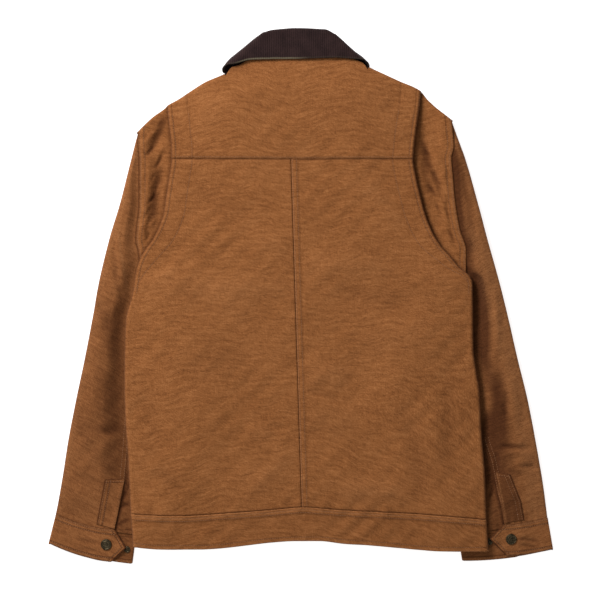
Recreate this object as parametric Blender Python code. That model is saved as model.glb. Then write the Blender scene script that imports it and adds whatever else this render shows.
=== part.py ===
"""A ranch jacket laid flat on its front, back up.

All tables and sizes are in millimetres. X runs to the wearer's right, +Y towards the collar and +Z
up from the surface. The walls are grids of points: an outer sheet, an inner sheet and a rim. Panels
that meet at a seam share that seam's curve and stand half a seam gap back from it.
"""

import math

import bmesh
import bpy
import numpy as np

MM = 0.001
SHIFT_X = -0.7  # brings the middle of the outline onto the origin

# Colours of the three stuffs
DUCK = (0.29, 0.11, 0.032)
CORDUROY = (0.03, 0.015, 0.014)
BRASS = (0.09, 0.075, 0.05)

# Walls and the clearances between layers
BODY_WALL = 3.0
SLEEVE_WALL = 2.6
GUSSET_WALL = 2.0
COLLAR_WALL = 2.4
STRIP_WALL = 1.5
SEAM_GAP = 0.3
LAYER_GAP = 0.6

# Heights of the layers above the surface
BACK_LOW = 7.2  # underside of the back in the middle
SLEEVE_LIFT = 8.0  # how far a front is lifted where a sleeve lies under it
BACK_LIFT = 5.7  # the same for the back
LAP_HALF = 15.0  # the left front reaches this far past the middle, and the right front too
LAP_REACH = 24.0  # the right front stays lifted as far as this
LAP_BLEND = 30.0  # and comes down over this width
LEAF_LIFT = 3.1  # room for the collar's front under the fronts
LEAF_BLEND = 55.0  # width over which that room opens
LEAF_MARGIN = 6.0  # and how far short of the collar's front it is complete
NECK_EASE = 0.6  # share of that room that the back gives up at the neck
NECK_EASE_Y = 285.0  # from here
NECK_EASE_BLEND = 35.0  # over this height
SLEEVE_TOP = 6.0  # upper face of a sleeve where the body lies on it
SLEEVE_CREST = 3.0  # how much higher the part that shows is
GUSSET_LOW = 4.0  # lower face of a gusset, flat in the pleat
GUSSET_LAP = 14.0  # width over which a gusset climbs onto the sleeve head
GUSSET_FLAT = 12.5  # width of it that lies flat there
GUSSET_FOOT_LIFT = 1.6  # and how much higher its foot lies
GUSSET_FOOT_RISE = 12.0  # the foot ends this far up
GUSSET_FOOT_BLEND = 45.0  # and blends over this height
GUSSET_HIDDEN = 26.0  # reach of a gusset under the pleat edge
GUSSET_HIDDEN_FOOT = 8.0  # the same at its foot
GUSSET_HIDDEN_BLEND = 50.0  # height over which the reach grows
GUSSET_INSET = 4.6  # the gusset's sheet stops this far short of the shoulder line
GUSSET_HIDDEN_INSET = 8.0  # and this far under the yoke
YOKE_INSET = 5.4  # and the yoke's sheet
TUCK = 6.0  # reach of a sleeve head under the gusset
TUCK_BLEND = 14.0  # height over which it goes there
UNDERARM_Y = 0.0  # height of the underarm points on the fronts
UNDERARM_BLEND = 52.0  # height over which the body comes down above the underarm
UNDERARM_RISE = 4.0  # and how far above it that starts
SLEEVE_BLEND = 75.0  # width over which the body comes down beside the hidden fold of a sleeve
SLEEVE_MARGIN = 14.0  # the body is at its full lift this far before the sleeve begins
EDGE_FLAT = 6.0  # width of the back's flat border inside its rolled edge
EDGE_BLEND = 45.0  # width over which the border's height becomes the panel's
EDGE_END_BLEND = 30.0  # height over which the border ends below the shoulder line
SHOULDER_END_Y = 292.0  # where it ends
SHOULDER_Y = 270.0  # height of the armhole's upper end
SIDE_RADIUS = 3.7  # the side fold of a front
SIDE_TOP_Y = -30.0  # the side seam leaves the fold here and runs to the underarm
SIDE_TOP_RISE = 18.0  # the fold is complete this far above
SIDE_TOP_BLEND = 30.0  # and flattens over this height
SEAM_REACH = 1.0  # a front stops this far short of its armhole seam
YOKE_CLEAR = 2.5  # the gusset's flap starts this far past the yoke
FLAP_SHIFT = {-1: (19.0, -29.4), 1: (-17.0, -30.5)}  # the yoke's wrap onto the fronts: x, y

# Edges of the back: y, x
LEFT_EDGE = [
    (-362, -238.0), (-353, -238.0), (-307, -241.0), (-231, -244.7), (-177, -248.5), (-123, -250.0),
    (-67, -249.5), (-30, -247.4), (-5, -240.7), (10, -237.3), (35, -233.6), (48, -229.6),
    (61, -223.4), (81, -209.5), (99, -200.5), (118, -194.0), (143, -190.4), (168, -186.6),
    (194, -183.0), (208, -183.0), (240, -186.0), (271, -189.4),
]
RIGHT_EDGE = [
    (-362, 266.8), (-317, 264.0), (-249, 261.4), (-195, 257.0), (-135, 254.0), (-100, 248.5),
    (-78, 245.5), (-5, 244.5), (20, 243.8), (29, 240.0), (40, 226.5), (56, 213.0), (73, 198.0),
    (92, 186.7), (118, 176.5), (143, 170.0), (168, 164.0), (195, 160.0), (216, 161.7),
    (243, 165.0), (271, 169.4), (292, 171.0),
]
# Heights along both edges: y, upper face, lowest point of the rolled edge
EDGE_HEIGHTS = [
    (-362, 15.0, 11.6), (-40, 15.5, 11.7), (0, 15.3, 10.6), (50, 14.3, 9.6), (65, 13.2, 9.0),
    (85, 12.4, 7.4), (110, 11.6, 6.4), (292, 11.6, 6.4),
]
# Outer edges of the gussets: y, x
LEFT_GUSSET = [
    (40, -228.5), (51, -229.0), (63, -230.3), (80, -233.7), (105, -231.6), (130, -229.0),
    (156, -229.0), (194, -229.0), (204, -230.0), (226, -231.0), (236, -230.2),
]
RIGHT_GUSSET = [
    (25, 235.2), (35, 235.0), (65, 235.0), (95, 226.0), (124, 220.8), (149, 217.7), (165, 216.6),
    (197, 214.0), (213, 217.3), (252, 214.0),
]
# Outer folds of the sleeves: y, x
LEFT_SLEEVE = [
    (-352, -360.0), (-332, -354.0), (-303, -347.0), (-261, -339.0), (-204, -330.0), (-147, -319.0),
    (-90, -307.0), (-33, -296.0), (23, -286.0), (80, -272.0), (137, -255.0), (194, -241.0),
    (222, -234.0), (236, -230.2),
]
RIGHT_SLEEVE = [
    (-360, 360.0), (-332, 354.0), (-303, 350.0), (-261, 344.0), (-204, 334.0), (-147, 323.0),
    (-90, 309.0), (-33, 296.0), (23, 282.0), (80, 266.0), (137, 251.0), (194, 235.0),
    (222, 225.0), (252, 214.5),
]
# Sleeve laid flat: y, width from fold to fold, width of the under sleeve on the lower face
SLEEVE_WIDTHS = [
    (-345, 121, 22), (-280, 136, 30), (-180, 159, 45), (-110, 159, 50), (-60, 134, 38),
    (-30, 106, 24), (0, 77, 4),
]
# Hindarm seam on the upper face: y, x. Above the first row it runs under the gusset.
LEFT_HINDARM = [(-332, -264.0), (-256, -249.0), (-180, -243.0), (-60, -236.0), (40, -226.0)]
RIGHT_HINDARM = [
    (-324, 289.4), (-298, 284.6), (-277, 279.0), (-236, 271.0), (-196, 260.0), (-67, 257.0),
    (25, 229.0),
]
# Armholes on the fronts: y, x
LEFT_ARMHOLE = [
    (0, -216.0), (20, -207.0), (45, -197.0), (90, -188.5), (150, -192.0), (180, -199.0),
    (206, -211.0),
]
RIGHT_ARMHOLE = [
    (0, 224.0), (20, 214.0), (45, 203.0), (90, 184.0), (150, 180.0), (190, 186.0), (222, 196.5),
]

# Shoulder line and neck seam of the back: x, y
TOP_LINE = [
    (-230.2, 235.6), (-222, 244.0), (-208.5, 256.5), (-194.8, 266.4), (-189.4, 270.9),
    (-172, 281.0), (-158.6, 290.0), (-136, 304.0), (-107, 317.0), (-96, 325.0), (-85, 328.7),
    (-76, 334.0), (-40, 341.0), (0, 343.0), (40, 342.0), (77, 335.5), (96.7, 326.0),
    (113, 318.5), (140, 306.4), (171, 291.8), (180, 281.4), (191, 270.7), (214, 252.2),
]
NECK_LEFT, NECK_RIGHT = -107.0, 96.7
# Neck seam of the fronts: x, y
FRONT_NECK_SEAM = [
    (-90, 290.0), (-62, 264.0), (-30, 257.0), (0, 255.5), (28, 258.0), (58, 270.0), (82, 298.0),
]
# Lower edge of the collar's front: x, y
LEAF_LOW = [
    (-235, 420), (-165, 400), (-128, 300), (-118, 246), (-86, 216), (-8, 258), (8, 258),
    (80, 220), (106, 250), (114, 305), (152, 400), (235, 420),
]

# Seams across the back: x, y
YOKE_SEAM = [(-190, 196.0), (0, 195.0), (165, 195.7)]
HEM_SEAM = [
    (-250, -307.5), (-166, -310.6), (-99, -306.6), (-17, -300.0), (0, -298.3), (56, -302.5),
    (190, -309.3), (268, -316.5),
]
HEM_BOTTOM = [
    (-245, -352.0), (-228, -356.0), (-177, -359.0), (-143, -359.0), (-109, -357.0), (-75, -353.0),
    (-40, -349.0), (-6, -347.0), (28, -347.0), (62, -351.0), (96, -353.0), (130, -356.0),
    (164, -359.0), (198, -361.0), (270, -361.0),
]
CENTRE_SEAM = [(-320, 2.2), (196, -13.6)]  # y, x

# Collar: the roll line and the edge of the fall, on the back: x, y
COLLAR_ROLL = [
    (-53, 369.0), (-46, 376.0), (-30, 379.2), (-6, 381.0), (31, 379.3), (44, 377.0), (50, 367.0),
]
COLLAR_EDGE = [
    (-106, 317.0), (-101, 328.0), (-94, 333.0), (-75, 335.3), (-48, 336.8), (0, 337.3),
    (50, 338.8), (67, 338.0), (80, 335.5), (88, 332.0), (93, 323.0),
]
# and on the front, from the side fold to the opening: roll x, y, edge x, y
COLLAR_FRONT_LEFT = [
    (-53, 369, -106, 317), (-46, 345, -112, 297), (-34, 319, -108, 272), (-21, 292, -97, 249),
    (-6, 273, -78, 229),
]
COLLAR_FRONT_RIGHT = [
    (50, 367, 93, 323), (44, 345, 98, 302), (35, 319, 96, 277), (23, 292, 87, 254),
    (6, 273, 72, 234),
]
COLLAR_NECK_FOLD = {-1: (-95.5, 327.6), 1: (82.5, 334.4)}  # neck seam at the side folds
COLLAR_SAG = 0.5  # the collar dips by this in the middle of the back
COLLAR_MID = 7.65  # height of the plane that the folded collar is mirrored about
FALL_REACH = 7.65  # outer face of the fall, from that plane
STAND_REACH = 1.35  # inner face of the stand, from that plane

# Cuffs: upper corner and lower corner of each fold, then the pointed tab: share of the width, x, y
LEFT_CUFF = {
    "outer": ((-348.5, -309.5), (-358.6, -350.0)),
    "inner": ((-233.5, -336.0), (-239.0, -379.0)),
    "tab": [(0.0, -264.4, -331.4), (0.56, -248.5, -356.4), (1.0, -269.4, -376.4)],
    "bow": 4.5,
    "underlap": 50.0,
    "snap": (-275.8, -352.0),
    "stud": (-246.5, -359.5),
}
RIGHT_CUFF = {
    "outer": ((352.0, -314.5), (359.6, -358.7)),
    "inner": ((223.0, -333.0), (230.0, -375.0)),
    "tab": [(0.0, 289.4, -324.3), (0.45, 269.7, -343.8), (1.0, 293.0, -367.4)],
    "bow": 2.0,
    "underlap": 76.0,
    "snap": (299.0, -344.5),
    "stud": (269.0, -348.5),
}
CUFF_WALL = 2.6
CUFF_LOW_BOW = 4.0  # bow of a cuff's lower side
UNDER_CUFF_LOW = 3.0  # lower face of the end under the tab
TAB_LOW = 6.2  # lower face of the tab
TAB_FLAT = 11.0  # the cuff keeps that height this far past the snap
TAB_BLEND = 22.0  # and comes down over this width
CUFF_OUTER_LOW = 3.6  # to this height at the outer fold
TAB_TIP_LIFT = 2.2  # the tip lies this much higher, on the second snap
TIP_FLAT = 3.0  # within this distance of the tip
TIP_BLEND = 16.0  # and down over this one
UPPER_COLUMNS = 9
LOWER_SHARES = (0.33, 0.67, 1.0)
UNDERLAP_SHARES = (0.5, 1.0)

# Placket strips on the sleeves: free edge x, y and fixed edge x, y, from top to bottom
LEFT_PLACKET = [(-250.5, -260, -276.6, -260), (-264.0, -329, -289, -323)]
RIGHT_PLACKET = [(277.5, -250, 296, -252), (285.5, -292, 312, -291), (290.0, -321, 317, -317)]

# Sleeves
CREST_START = 9.0  # the crest of a sleeve begins this far beside the body
CREST_BLEND = 28.0  # and rises over this width
CREST_DROP = 0.6  # share of it that the fold gives up
CREST_DROP_START = 0.55  # from this share of the width on
CREST_LEAST_WIDTH = 8.0
GUSSET_END_Y = 20.0  # below this height the body's edge is what a sleeve starts from
ARMHOLE_TUCK = 3.0  # the sleeve's lower face reaches under the lifted front near the underarm
ARMHOLE_TUCK_TOP = 24.0  # up to this height
ARMHOLE_TUCK_BLEND = 8.0
ARMHOLE_TOP_BLEND = 2.0  # height over which the armhole turns along the shoulder's flap
UNDERARM_RUN = 12.0  # height over which the forearm seam becomes the armhole
UNDERARM_GAP = 2.0  # the under sleeve stops this far below the underarm
SLEEVE_FOLD = 3.7  # radius of a sleeve's outer fold

# The seam between the neck and the collar, and the snaps: radius, height above the seat
NECK_GAP = 1.1
SNAP_SEAT = 0.45
SNAP_SIDES = 16
SNAP_CAP = [(7.1, 0.0), (7.7, 0.7), (7.2, 2.0), (6.1, 2.6)]
SNAP_STUD = [(4.6, 0.0), (4.6, 1.4), (4.0, 1.9)]

# Steps of the grids
FOLD_STEPS = 2
TURN_STEPS = 4
FLAP_STEPS = 2
NECK_COLUMNS = 5
ARMHOLE_ROWS = 7
SLEEVE_ROWS = 11
SEARCH_STEPS = 40


def smooth(share):
    """0 below 0, 1 above 1, with a soft rise between."""
    share = np.clip(share, 0.0, 1.0)
    return share * share * (3.0 - 2.0 * share)


def through(rows, column=1, sharp=False):
    """A smooth function through a table whose first column rises, or a straight-sided one."""
    table = np.array(rows, float)
    if sharp:
        return lambda where: np.interp(where, table[:, 0], table[:, column])
    place, value = table[:, 0], table[:, column]
    step = np.diff(place)
    rise = np.diff(value) / step
    slope = np.concatenate(([rise[0]], np.zeros(len(step) - 1), [rise[-1]]))
    for k in range(1, len(step)):
        if rise[k - 1] * rise[k] > 0:
            near, far = 2 * step[k] + step[k - 1], step[k] + 2 * step[k - 1]
            slope[k] = (near + far) / (near / rise[k - 1] + far / rise[k])

    def value_at(where):
        where = np.asarray(where, float)
        left = np.clip(np.searchsorted(place, where, side="right") - 1, 0, len(step) - 1)
        width = step[left]
        t = (where - place[left]) / width
        inside = np.clip(t, 0.0, 1.0)
        beyond = (t - inside) * width
        start, end = value[left], value[left + 1]
        pull_start, pull_end = slope[left] * width, slope[left + 1] * width
        cubic = (
            start * (1 + 2 * inside) * (1 - inside) ** 2
            + pull_start * inside * (1 - inside) ** 2
            + end * inside**2 * (3 - 2 * inside)
            + pull_end * inside**2 * (inside - 1)
        )
        return cubic + beyond * np.where(t < 0, slope[left], slope[left + 1])

    return value_at


def lerp(a, b, share):
    return a + (b - a) * share


EDGE = {-1: through(LEFT_EDGE), 1: through(RIGHT_EDGE)}
GUSSET = {-1: through(LEFT_GUSSET), 1: through(RIGHT_GUSSET)}
SLEEVE = {-1: through(LEFT_SLEEVE), 1: through(RIGHT_SLEEVE)}
HINDARM = {-1: through(LEFT_HINDARM), 1: through(RIGHT_HINDARM)}
EDGE_TOP = through(EDGE_HEIGHTS, 1)
EDGE_LOW = through(EDGE_HEIGHTS, 2)
SLEEVE_WIDTH = through(SLEEVE_WIDTHS, 1)
UNDER_WIDTH = through(SLEEVE_WIDTHS, 2)
ARMHOLE = {-1: through(LEFT_ARMHOLE), 1: through(RIGHT_ARMHOLE)}
TOP = through(TOP_LINE)
FRONT_NECK = through(FRONT_NECK_SEAM)
LEAF = through(LEAF_LOW)
YOKE = through(YOKE_SEAM)
HEM = through(HEM_SEAM)
HEM_LOW = through(HEM_BOTTOM)
CENTRE = through(CENTRE_SEAM)
NECK = {-1: NECK_LEFT, 1: NECK_RIGHT}
GUSSET_FOOT = {-1: 46.0, 1: 27.0}
FRONT_TOP_Y = {-1: 206.0, 1: 222.0}
SLEEVE_START = {-1: 204.0, 1: 220.0}
CUFF = {-1: LEFT_CUFF, 1: RIGHT_CUFF}
CUFF_WIDTHS = {-1: (0.0, 0.28, 0.56, 0.78, 1.0), 1: (0.0, 0.22, 0.45, 0.72, 1.0)}
PLACKET = {-1: LEFT_PLACKET, 1: RIGHT_PLACKET}
SIDE_NAME = {-1: "left", 1: "right"}


def sleeve_inner(side, y):
    """x of a sleeve's inner fold, hidden under the body."""
    return SLEEVE[side](y) - side * SLEEVE_WIDTH(np.minimum(y, UNDERARM_Y))


def over_sleeve(x, y):
    """1 where a sleeve lies under the body, 0 in the middle of the body."""
    below = smooth((UNDERARM_Y + UNDERARM_BLEND + UNDERARM_RISE - y) / UNDERARM_BLEND)
    reach = [
        smooth((side * (x - sleeve_inner(side, y)) + SLEEVE_MARGIN + SLEEVE_BLEND) / SLEEVE_BLEND)
        for side in (-1, 1)
    ]
    return below * np.maximum(reach[0], reach[1])


def over_leaf(x, y):
    """1 where the collar's front lies under a front."""
    return smooth((y - LEAF(x) + LEAF_BLEND + LEAF_MARGIN) / LEAF_BLEND)


def front_low(x, y, lapped):
    """Lower face of a front. The right front lies on the left one at the middle."""
    low = SLEEVE_LIFT * over_sleeve(x, y) + LEAF_LIFT * over_leaf(x, y)
    if lapped:
        low = low + (BODY_WALL + LAYER_GAP) * (1 - smooth((x - LAP_REACH) / LAP_BLEND))
    return low


def back_top(x, y):
    """Upper face of the back and the yoke."""
    leaf = over_leaf(x, y) * (1 - NECK_EASE * smooth((y - NECK_EASE_Y) / NECK_EASE_BLEND))
    low = BACK_LOW + BACK_LIFT * over_sleeve(x, y) + LEAF_LIFT * leaf
    inside = np.minimum(x - EDGE[-1](y), EDGE[1](y) - x)
    near = 1 - smooth((inside - EDGE_FLAT) / EDGE_BLEND)
    near = near * smooth((SHOULDER_END_Y - y) / EDGE_END_BLEND)
    return lerp(low + BODY_WALL, EDGE_TOP(y), near)


def coons(left, right, bottom, top):
    """A grid of plan points between four edges, each a list of points."""
    rows, columns = len(left), len(bottom)
    v = np.linspace(0, 1, rows)[:, None, None]
    u = np.linspace(0, 1, columns)[None, :, None]
    left, right = np.asarray(left)[:, None, :], np.asarray(right)[:, None, :]
    bottom, top = np.asarray(bottom)[None, :, :], np.asarray(top)[None, :, :]
    corners = (
        (1 - u) * (1 - v) * bottom[:, :1] + u * (1 - v) * bottom[:, -1:]
        + (1 - u) * v * top[:, :1] + u * v * top[:, -1:]
    )
    return lerp(left, right, u) + lerp(bottom, top, v) - corners


def outward(points, away):
    """Unit normals of a plan curve, on the side that away points to."""
    along = np.gradient(np.asarray(points), axis=0)
    normal = np.stack([along[:, 1], -along[:, 0]], axis=1)
    normal /= np.linalg.norm(normal, axis=1)[:, None]
    return normal * np.sign((normal * np.asarray(away)).sum(axis=1))[:, None]


def with_height(plan, height):
    return np.concatenate([plan, np.asarray(height)[..., None]], axis=-1)


def solid(name, colour, roughness, metallic, points, faces):
    """A named object from points in millimetres, with its faces pointing out."""
    mesh = bpy.data.meshes.new(name)
    moved = np.asarray(points, float) + (SHIFT_X, 0.0, 0.0)
    mesh.from_pydata((moved * MM).tolist(), [], faces)
    shape = bmesh.new()
    shape.from_mesh(mesh)
    bmesh.ops.recalc_face_normals(shape, faces=shape.faces)
    shape.to_mesh(mesh)
    shape.free()
    mesh.shade_smooth()
    mesh.set_sharp_from_angle(angle=math.radians(40))
    mesh.materials.append(finish(name, colour, roughness, metallic))
    piece = bpy.data.objects.new(name, mesh)
    bpy.context.scene.collection.objects.link(piece)
    return piece


def finish(name, colour, roughness, metallic):
    material = bpy.data.materials.new(name)
    material.use_nodes = True
    shader = material.node_tree.nodes["Principled BSDF"]
    shader.inputs["Base Color"].default_value = (*colour, 1.0)
    shader.inputs["Roughness"].default_value = roughness
    shader.inputs["Metallic"].default_value = metallic
    return material


def wall(name, outer, inner, cells=None, colour=DUCK, roughness=0.9):
    """A closed wall between two grids of points. cells says which cells of the grid are cloth."""
    rows, columns = outer.shape[:2]
    if cells is None:
        cells = np.ones((rows - 1, columns - 1), bool)
    index = np.arange(rows * columns).reshape(rows, columns)
    shift = rows * columns
    faces, border = [], {}
    for i, j in zip(*np.nonzero(cells)):
        ring = [index[i, j], index[i, j + 1], index[i + 1, j + 1], index[i + 1, j]]
        faces.append(ring)
        faces.append([corner + shift for corner in reversed(ring)])
        for a, b in zip(ring, ring[1:] + ring[:1]):
            if (b, a) in border:
                del border[(b, a)]
            else:
                border[(a, b)] = True
    faces += [[a, a + shift, b + shift, b] for a, b in border]
    points = np.concatenate([outer.reshape(-1, 3), inner.reshape(-1, 3)])
    used = sorted({corner for face in faces for corner in face})
    place = {old: new for new, old in enumerate(used)}
    faces = [[place[corner] for corner in face] for face in faces]
    return solid(name, colour, roughness, 0.0, points[used], faces)


def side_edge(side, heights, radius):
    """Outward normals of a back edge at these heights, and the edge moved in by the radius."""
    edge = np.stack([EDGE[side](heights), heights], axis=1)
    normal = outward(edge, (side, 0.0))
    return normal, edge - normal * radius[:, None]


def corner_height(side, line, inset):
    """Where a seam, y as a function of x, meets the edge of the back moved in by inset."""
    y = float(line(EDGE[side](0.0)))
    for _ in range(SEARCH_STEPS):
        y = float(line(EDGE[side](y) - side * inset))
    return y


def rolled_columns(inset_plan, normal, top, low, radius, thickness, turn):
    """Outer and inner points of an edge that rolls down from top to low, a column for each step."""
    outer, inner = [], []
    drop = top - low
    for k in range(1, FOLD_STEPS + 1):
        angle = turn * k / FOLD_STEPS
        across = math.sin(angle)
        fall = math.cos(angle)
        outer.append(with_height(
            inset_plan + normal * (radius * across)[:, None], top - drop * (1 - fall)
        ))
        inner.append(with_height(
            inset_plan + normal * ((radius - thickness) * across)[:, None],
            top - drop + (drop - thickness) * fall,
        ))
    return outer, inner


def edge_radius(heights):
    return EDGE_TOP(heights) - EDGE_LOW(heights)


def spread_of(start, end, columns, through_x):
    """Places from start to end, evenly on each side of through_x where that is given."""
    if through_x is None:
        return np.linspace(start, end, columns)
    half = columns // 2 + 1
    return np.concatenate([
        np.linspace(start, through_x, half), np.linspace(through_x, end, half)[1:]
    ])


def back_grid(left_side, right_side, bottom_line, top_line, columns, rows, through_x=None):
    """Outer and inner grid of a panel of the back. A side is -1 or 1 at a rolled edge, or a
    function that gives x at a height where the panel ends in a seam."""
    edges, rolls = [], []
    for side, seam in ((-1, left_side), (1, right_side)):
        if callable(seam):
            start = float(bottom_line(0.0))
            for _ in range(SEARCH_STEPS):
                start = float(bottom_line(seam(start)))
            end = float(top_line(0.0))
            for _ in range(SEARCH_STEPS):
                end = float(top_line(seam(end)))
            heights = np.linspace(start, end, rows)
            edges.append(np.stack([seam(heights), heights], axis=1))
            rolls.append(None)
            continue
        inset = float(edge_radius(0.0))
        heights = np.linspace(
            corner_height(side, bottom_line, inset), corner_height(side, top_line, inset), rows
        )
        radius = edge_radius(heights)
        normal, moved = side_edge(side, heights, radius)
        edges.append(moved)
        rolls.append((normal, radius, heights))
    left, right = edges
    bottom_x = spread_of(left[0, 0], right[0, 0], columns, through_x)
    top_x = spread_of(left[-1, 0], right[-1, 0], columns, through_x)
    bottom = np.stack([bottom_x, bottom_line(bottom_x)], axis=1)
    top = np.stack([top_x, top_line(top_x)], axis=1)
    bottom[0], bottom[-1], top[0], top[-1] = left[0], right[0], left[-1], right[-1]
    plan = coons(left, right, bottom, top)
    height = back_top(plan[..., 0], plan[..., 1])
    outer = [with_height(plan[:, j], height[:, j]) for j in range(columns)]
    inner = [with_height(plan[:, j], height[:, j] - BODY_WALL) for j in range(columns)]
    for end, roll in zip((0, -1), rolls):
        if roll is None:
            continue
        normal, radius, heights = roll
        more_outer, more_inner = rolled_columns(
            plan[:, end], normal, height[:, end], EDGE_LOW(heights), radius, BODY_WALL, math.pi / 2
        )
        if end == 0:
            outer, inner = more_outer[::-1] + outer, more_inner[::-1] + inner
        else:
            outer, inner = outer + more_outer, inner + more_inner
    return np.stack(outer, axis=1), np.stack(inner, axis=1)


def offset_line(line, by):
    return lambda where: line(where) + by


def make_back():
    half = SEAM_GAP / 2
    below_yoke = offset_line(YOKE, -half)
    above_hem = offset_line(HEM, half)
    grid = back_grid(-1, offset_line(CENTRE, -half), above_hem, below_yoke, 9, 15)
    wall("back_left", *grid)
    grid = back_grid(offset_line(CENTRE, half), 1, above_hem, below_yoke, 9, 15)
    wall("back_right", *grid)
    centre = float(CENTRE(-300.0))
    grid = back_grid(-1, 1, HEM_LOW, offset_line(HEM, -half), 17, 3, centre)
    wall("band_back", *grid)


def shoulder_inset(x, roll):
    """How far the yoke's sheet stops short of the outline: the roll's radius, none at the neck."""
    at_neck = smooth((x - NECK_LEFT) / 8.0) * smooth((NECK_RIGHT - x) / 8.0)
    return roll * (1 - at_neck)


def flap(outer, inner, thickness):
    """Rows that roll a sheet's last row over the shoulder and on under it. Each column is mirrored
    about the middle of the layers there, and moves by the shoulder's flap shift."""
    normal = outward(outer[:, :2], (0.0, 1.0))
    side = np.where(outer[:, 0] < 0, 0, 1)
    shift = np.array([FLAP_SHIFT[-1], FLAP_SHIFT[1]])[side]
    inset = TOP(outer[:, 0]) - outer[:, 1]
    travel = shift + np.stack([0 * inset, inset], axis=1)
    low = front_low(outer[:, 0], outer[:, 1], False)
    top = np.maximum(outer[:, 2], inner[:, 2] + thickness)
    middle = (top + low) / 2
    radius = inset * normal[:, 1]
    grids = []
    for start, spread in ((outer, radius), (inner, radius - thickness)):
        rows = []
        for k in range(1, TURN_STEPS + 1):
            angle = math.pi * k / TURN_STEPS
            plan = start[:, :2] + normal * (spread * math.sin(angle))[:, None]
            rows.append(with_height(plan, middle + (start[:, 2] - middle) * math.cos(angle)))
        for k in range(1, FLAP_STEPS + 1):
            plan = start[:, :2] + travel * (k / FLAP_STEPS)
            lifted = front_low(plan[:, 0], plan[:, 1], False) - low
            rows.append(with_height(plan, 2 * middle - start[:, 2] + lifted))
        grids.append(np.stack(rows))
    return grids


def make_yoke():
    """A sheet over both shoulders, and a flap under it on each side of the neck."""
    seam = offset_line(YOKE, SEAM_GAP / 2)
    outer, inner = back_grid(-1, 1, seam, lambda x: TOP(x) - shoulder_inset(x, YOKE_INSET), 19, 6)
    rows = outer.shape[0]
    x = outer[-1, :, 0]
    on_shoulder = (x < NECK_LEFT + 1) | (x > NECK_RIGHT - 1)
    more_outer, more_inner = flap(outer[-1], inner[-1], BODY_WALL)
    outer = np.concatenate([outer, more_outer])
    inner = np.concatenate([inner, more_inner])
    cells = np.ones((outer.shape[0] - 1, outer.shape[1] - 1), bool)
    cells[rows - 1:] = (on_shoulder[:-1] & on_shoulder[1:])[None, :]
    wall("back_yoke", outer, inner, cells)


def gusset_low(side, x, y):
    """Lower face of a gusset: flat in the pleat, then up onto the sleeve head."""
    inside = side * (GUSSET[side](y) - x)
    foot = 1 - smooth((y - GUSSET_FOOT[side] - GUSSET_FOOT_RISE) / GUSSET_FOOT_BLEND)
    low = GUSSET_LOW + GUSSET_FOOT_LIFT * foot
    climb = SLEEVE_TOP + SEAM_GAP - low
    return low + climb * (1 - smooth((inside - GUSSET_FLAT) / GUSSET_LAP))


def meet(line, over, guess):
    """Height at which x = line(y) meets y = over(x), found step by step."""
    y = guess
    for _ in range(SEARCH_STEPS):
        y = lerp(y, float(over(line(y))), 0.5)
    return y


def make_gusset(side):
    def top_line(x):
        hidden_share = smooth(side * (EDGE[side](SHOULDER_Y) - x) / 6.0)
        return TOP(x) - lerp(GUSSET_INSET, GUSSET_HIDDEN_INSET, hidden_share)

    def hidden(y):
        share = smooth((y - GUSSET_FOOT[side]) / GUSSET_HIDDEN_BLEND)
        return EDGE[side](y) - side * lerp(GUSSET_HIDDEN_FOOT, GUSSET_HIDDEN, share)

    rows, columns = 11, 6
    ends = []
    for line in (GUSSET[side], hidden):
        heights = np.linspace(GUSSET_FOOT[side], meet(line, top_line, 240.0), rows)
        ends.append(np.stack([line(heights), heights], axis=1))
    bottom = np.linspace(ends[0][0], ends[1][0], columns)
    top_x = np.linspace(ends[0][-1, 0], ends[1][-1, 0], columns)
    top = np.stack([top_x, top_line(top_x)], axis=1)
    top[0], top[-1] = ends[0][-1], ends[1][-1]
    plan = coons(ends[0], ends[1], bottom, top)
    low = gusset_low(side, plan[..., 0], plan[..., 1])
    outer, inner = with_height(plan, low + GUSSET_WALL), with_height(plan, low)
    more_outer, more_inner = flap(outer[-1], inner[-1], GUSSET_WALL)
    outer = np.concatenate([outer, more_outer])
    inner = np.concatenate([inner, more_inner])
    cells = np.ones((outer.shape[0] - 1, columns - 1), bool)
    past_yoke = side * (outer[rows - 1, :, 0] - EDGE[side](SHOULDER_Y)) > YOKE_CLEAR
    cells[rows - 1:] = (past_yoke[:-1] & past_yoke[1:])[None, :]
    wall(f"gusset_{SIDE_NAME[side]}", outer, inner, cells)


def front_side(side, y):
    """x of a front's outer edge: the side seam, then the armhole."""
    seam = smooth((y - SIDE_TOP_Y) / (UNDERARM_Y - SIDE_TOP_Y))
    return lerp(EDGE[side](y), ARMHOLE[side](y), seam)


def front_top(side, x):
    """y of a front's upper edge: along the flap on the shoulder, then the neck seam."""
    across, down = FLAP_SHIFT[side]
    shoulder = TOP(x - across) + down - 2 * SEAM_GAP
    past_neck = smooth(side * (NECK[side] + across - x) / 4.0)
    return lerp(shoulder, np.minimum(shoulder, FRONT_NECK(x)), past_neck)


def neck_columns(side):
    """x of a front's columns from the corner of its neck seam to the middle."""
    return np.linspace(NECK[side] + FLAP_SHIFT[side][0], -side * LAP_HALF, NECK_COLUMNS)


def armhole_heights(side):
    """y of the rows that a front and a sleeve share along the armhole, from the underarm up."""
    return np.linspace(UNDERARM_Y, SLEEVE_START[side], ARMHOLE_ROWS)


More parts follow.
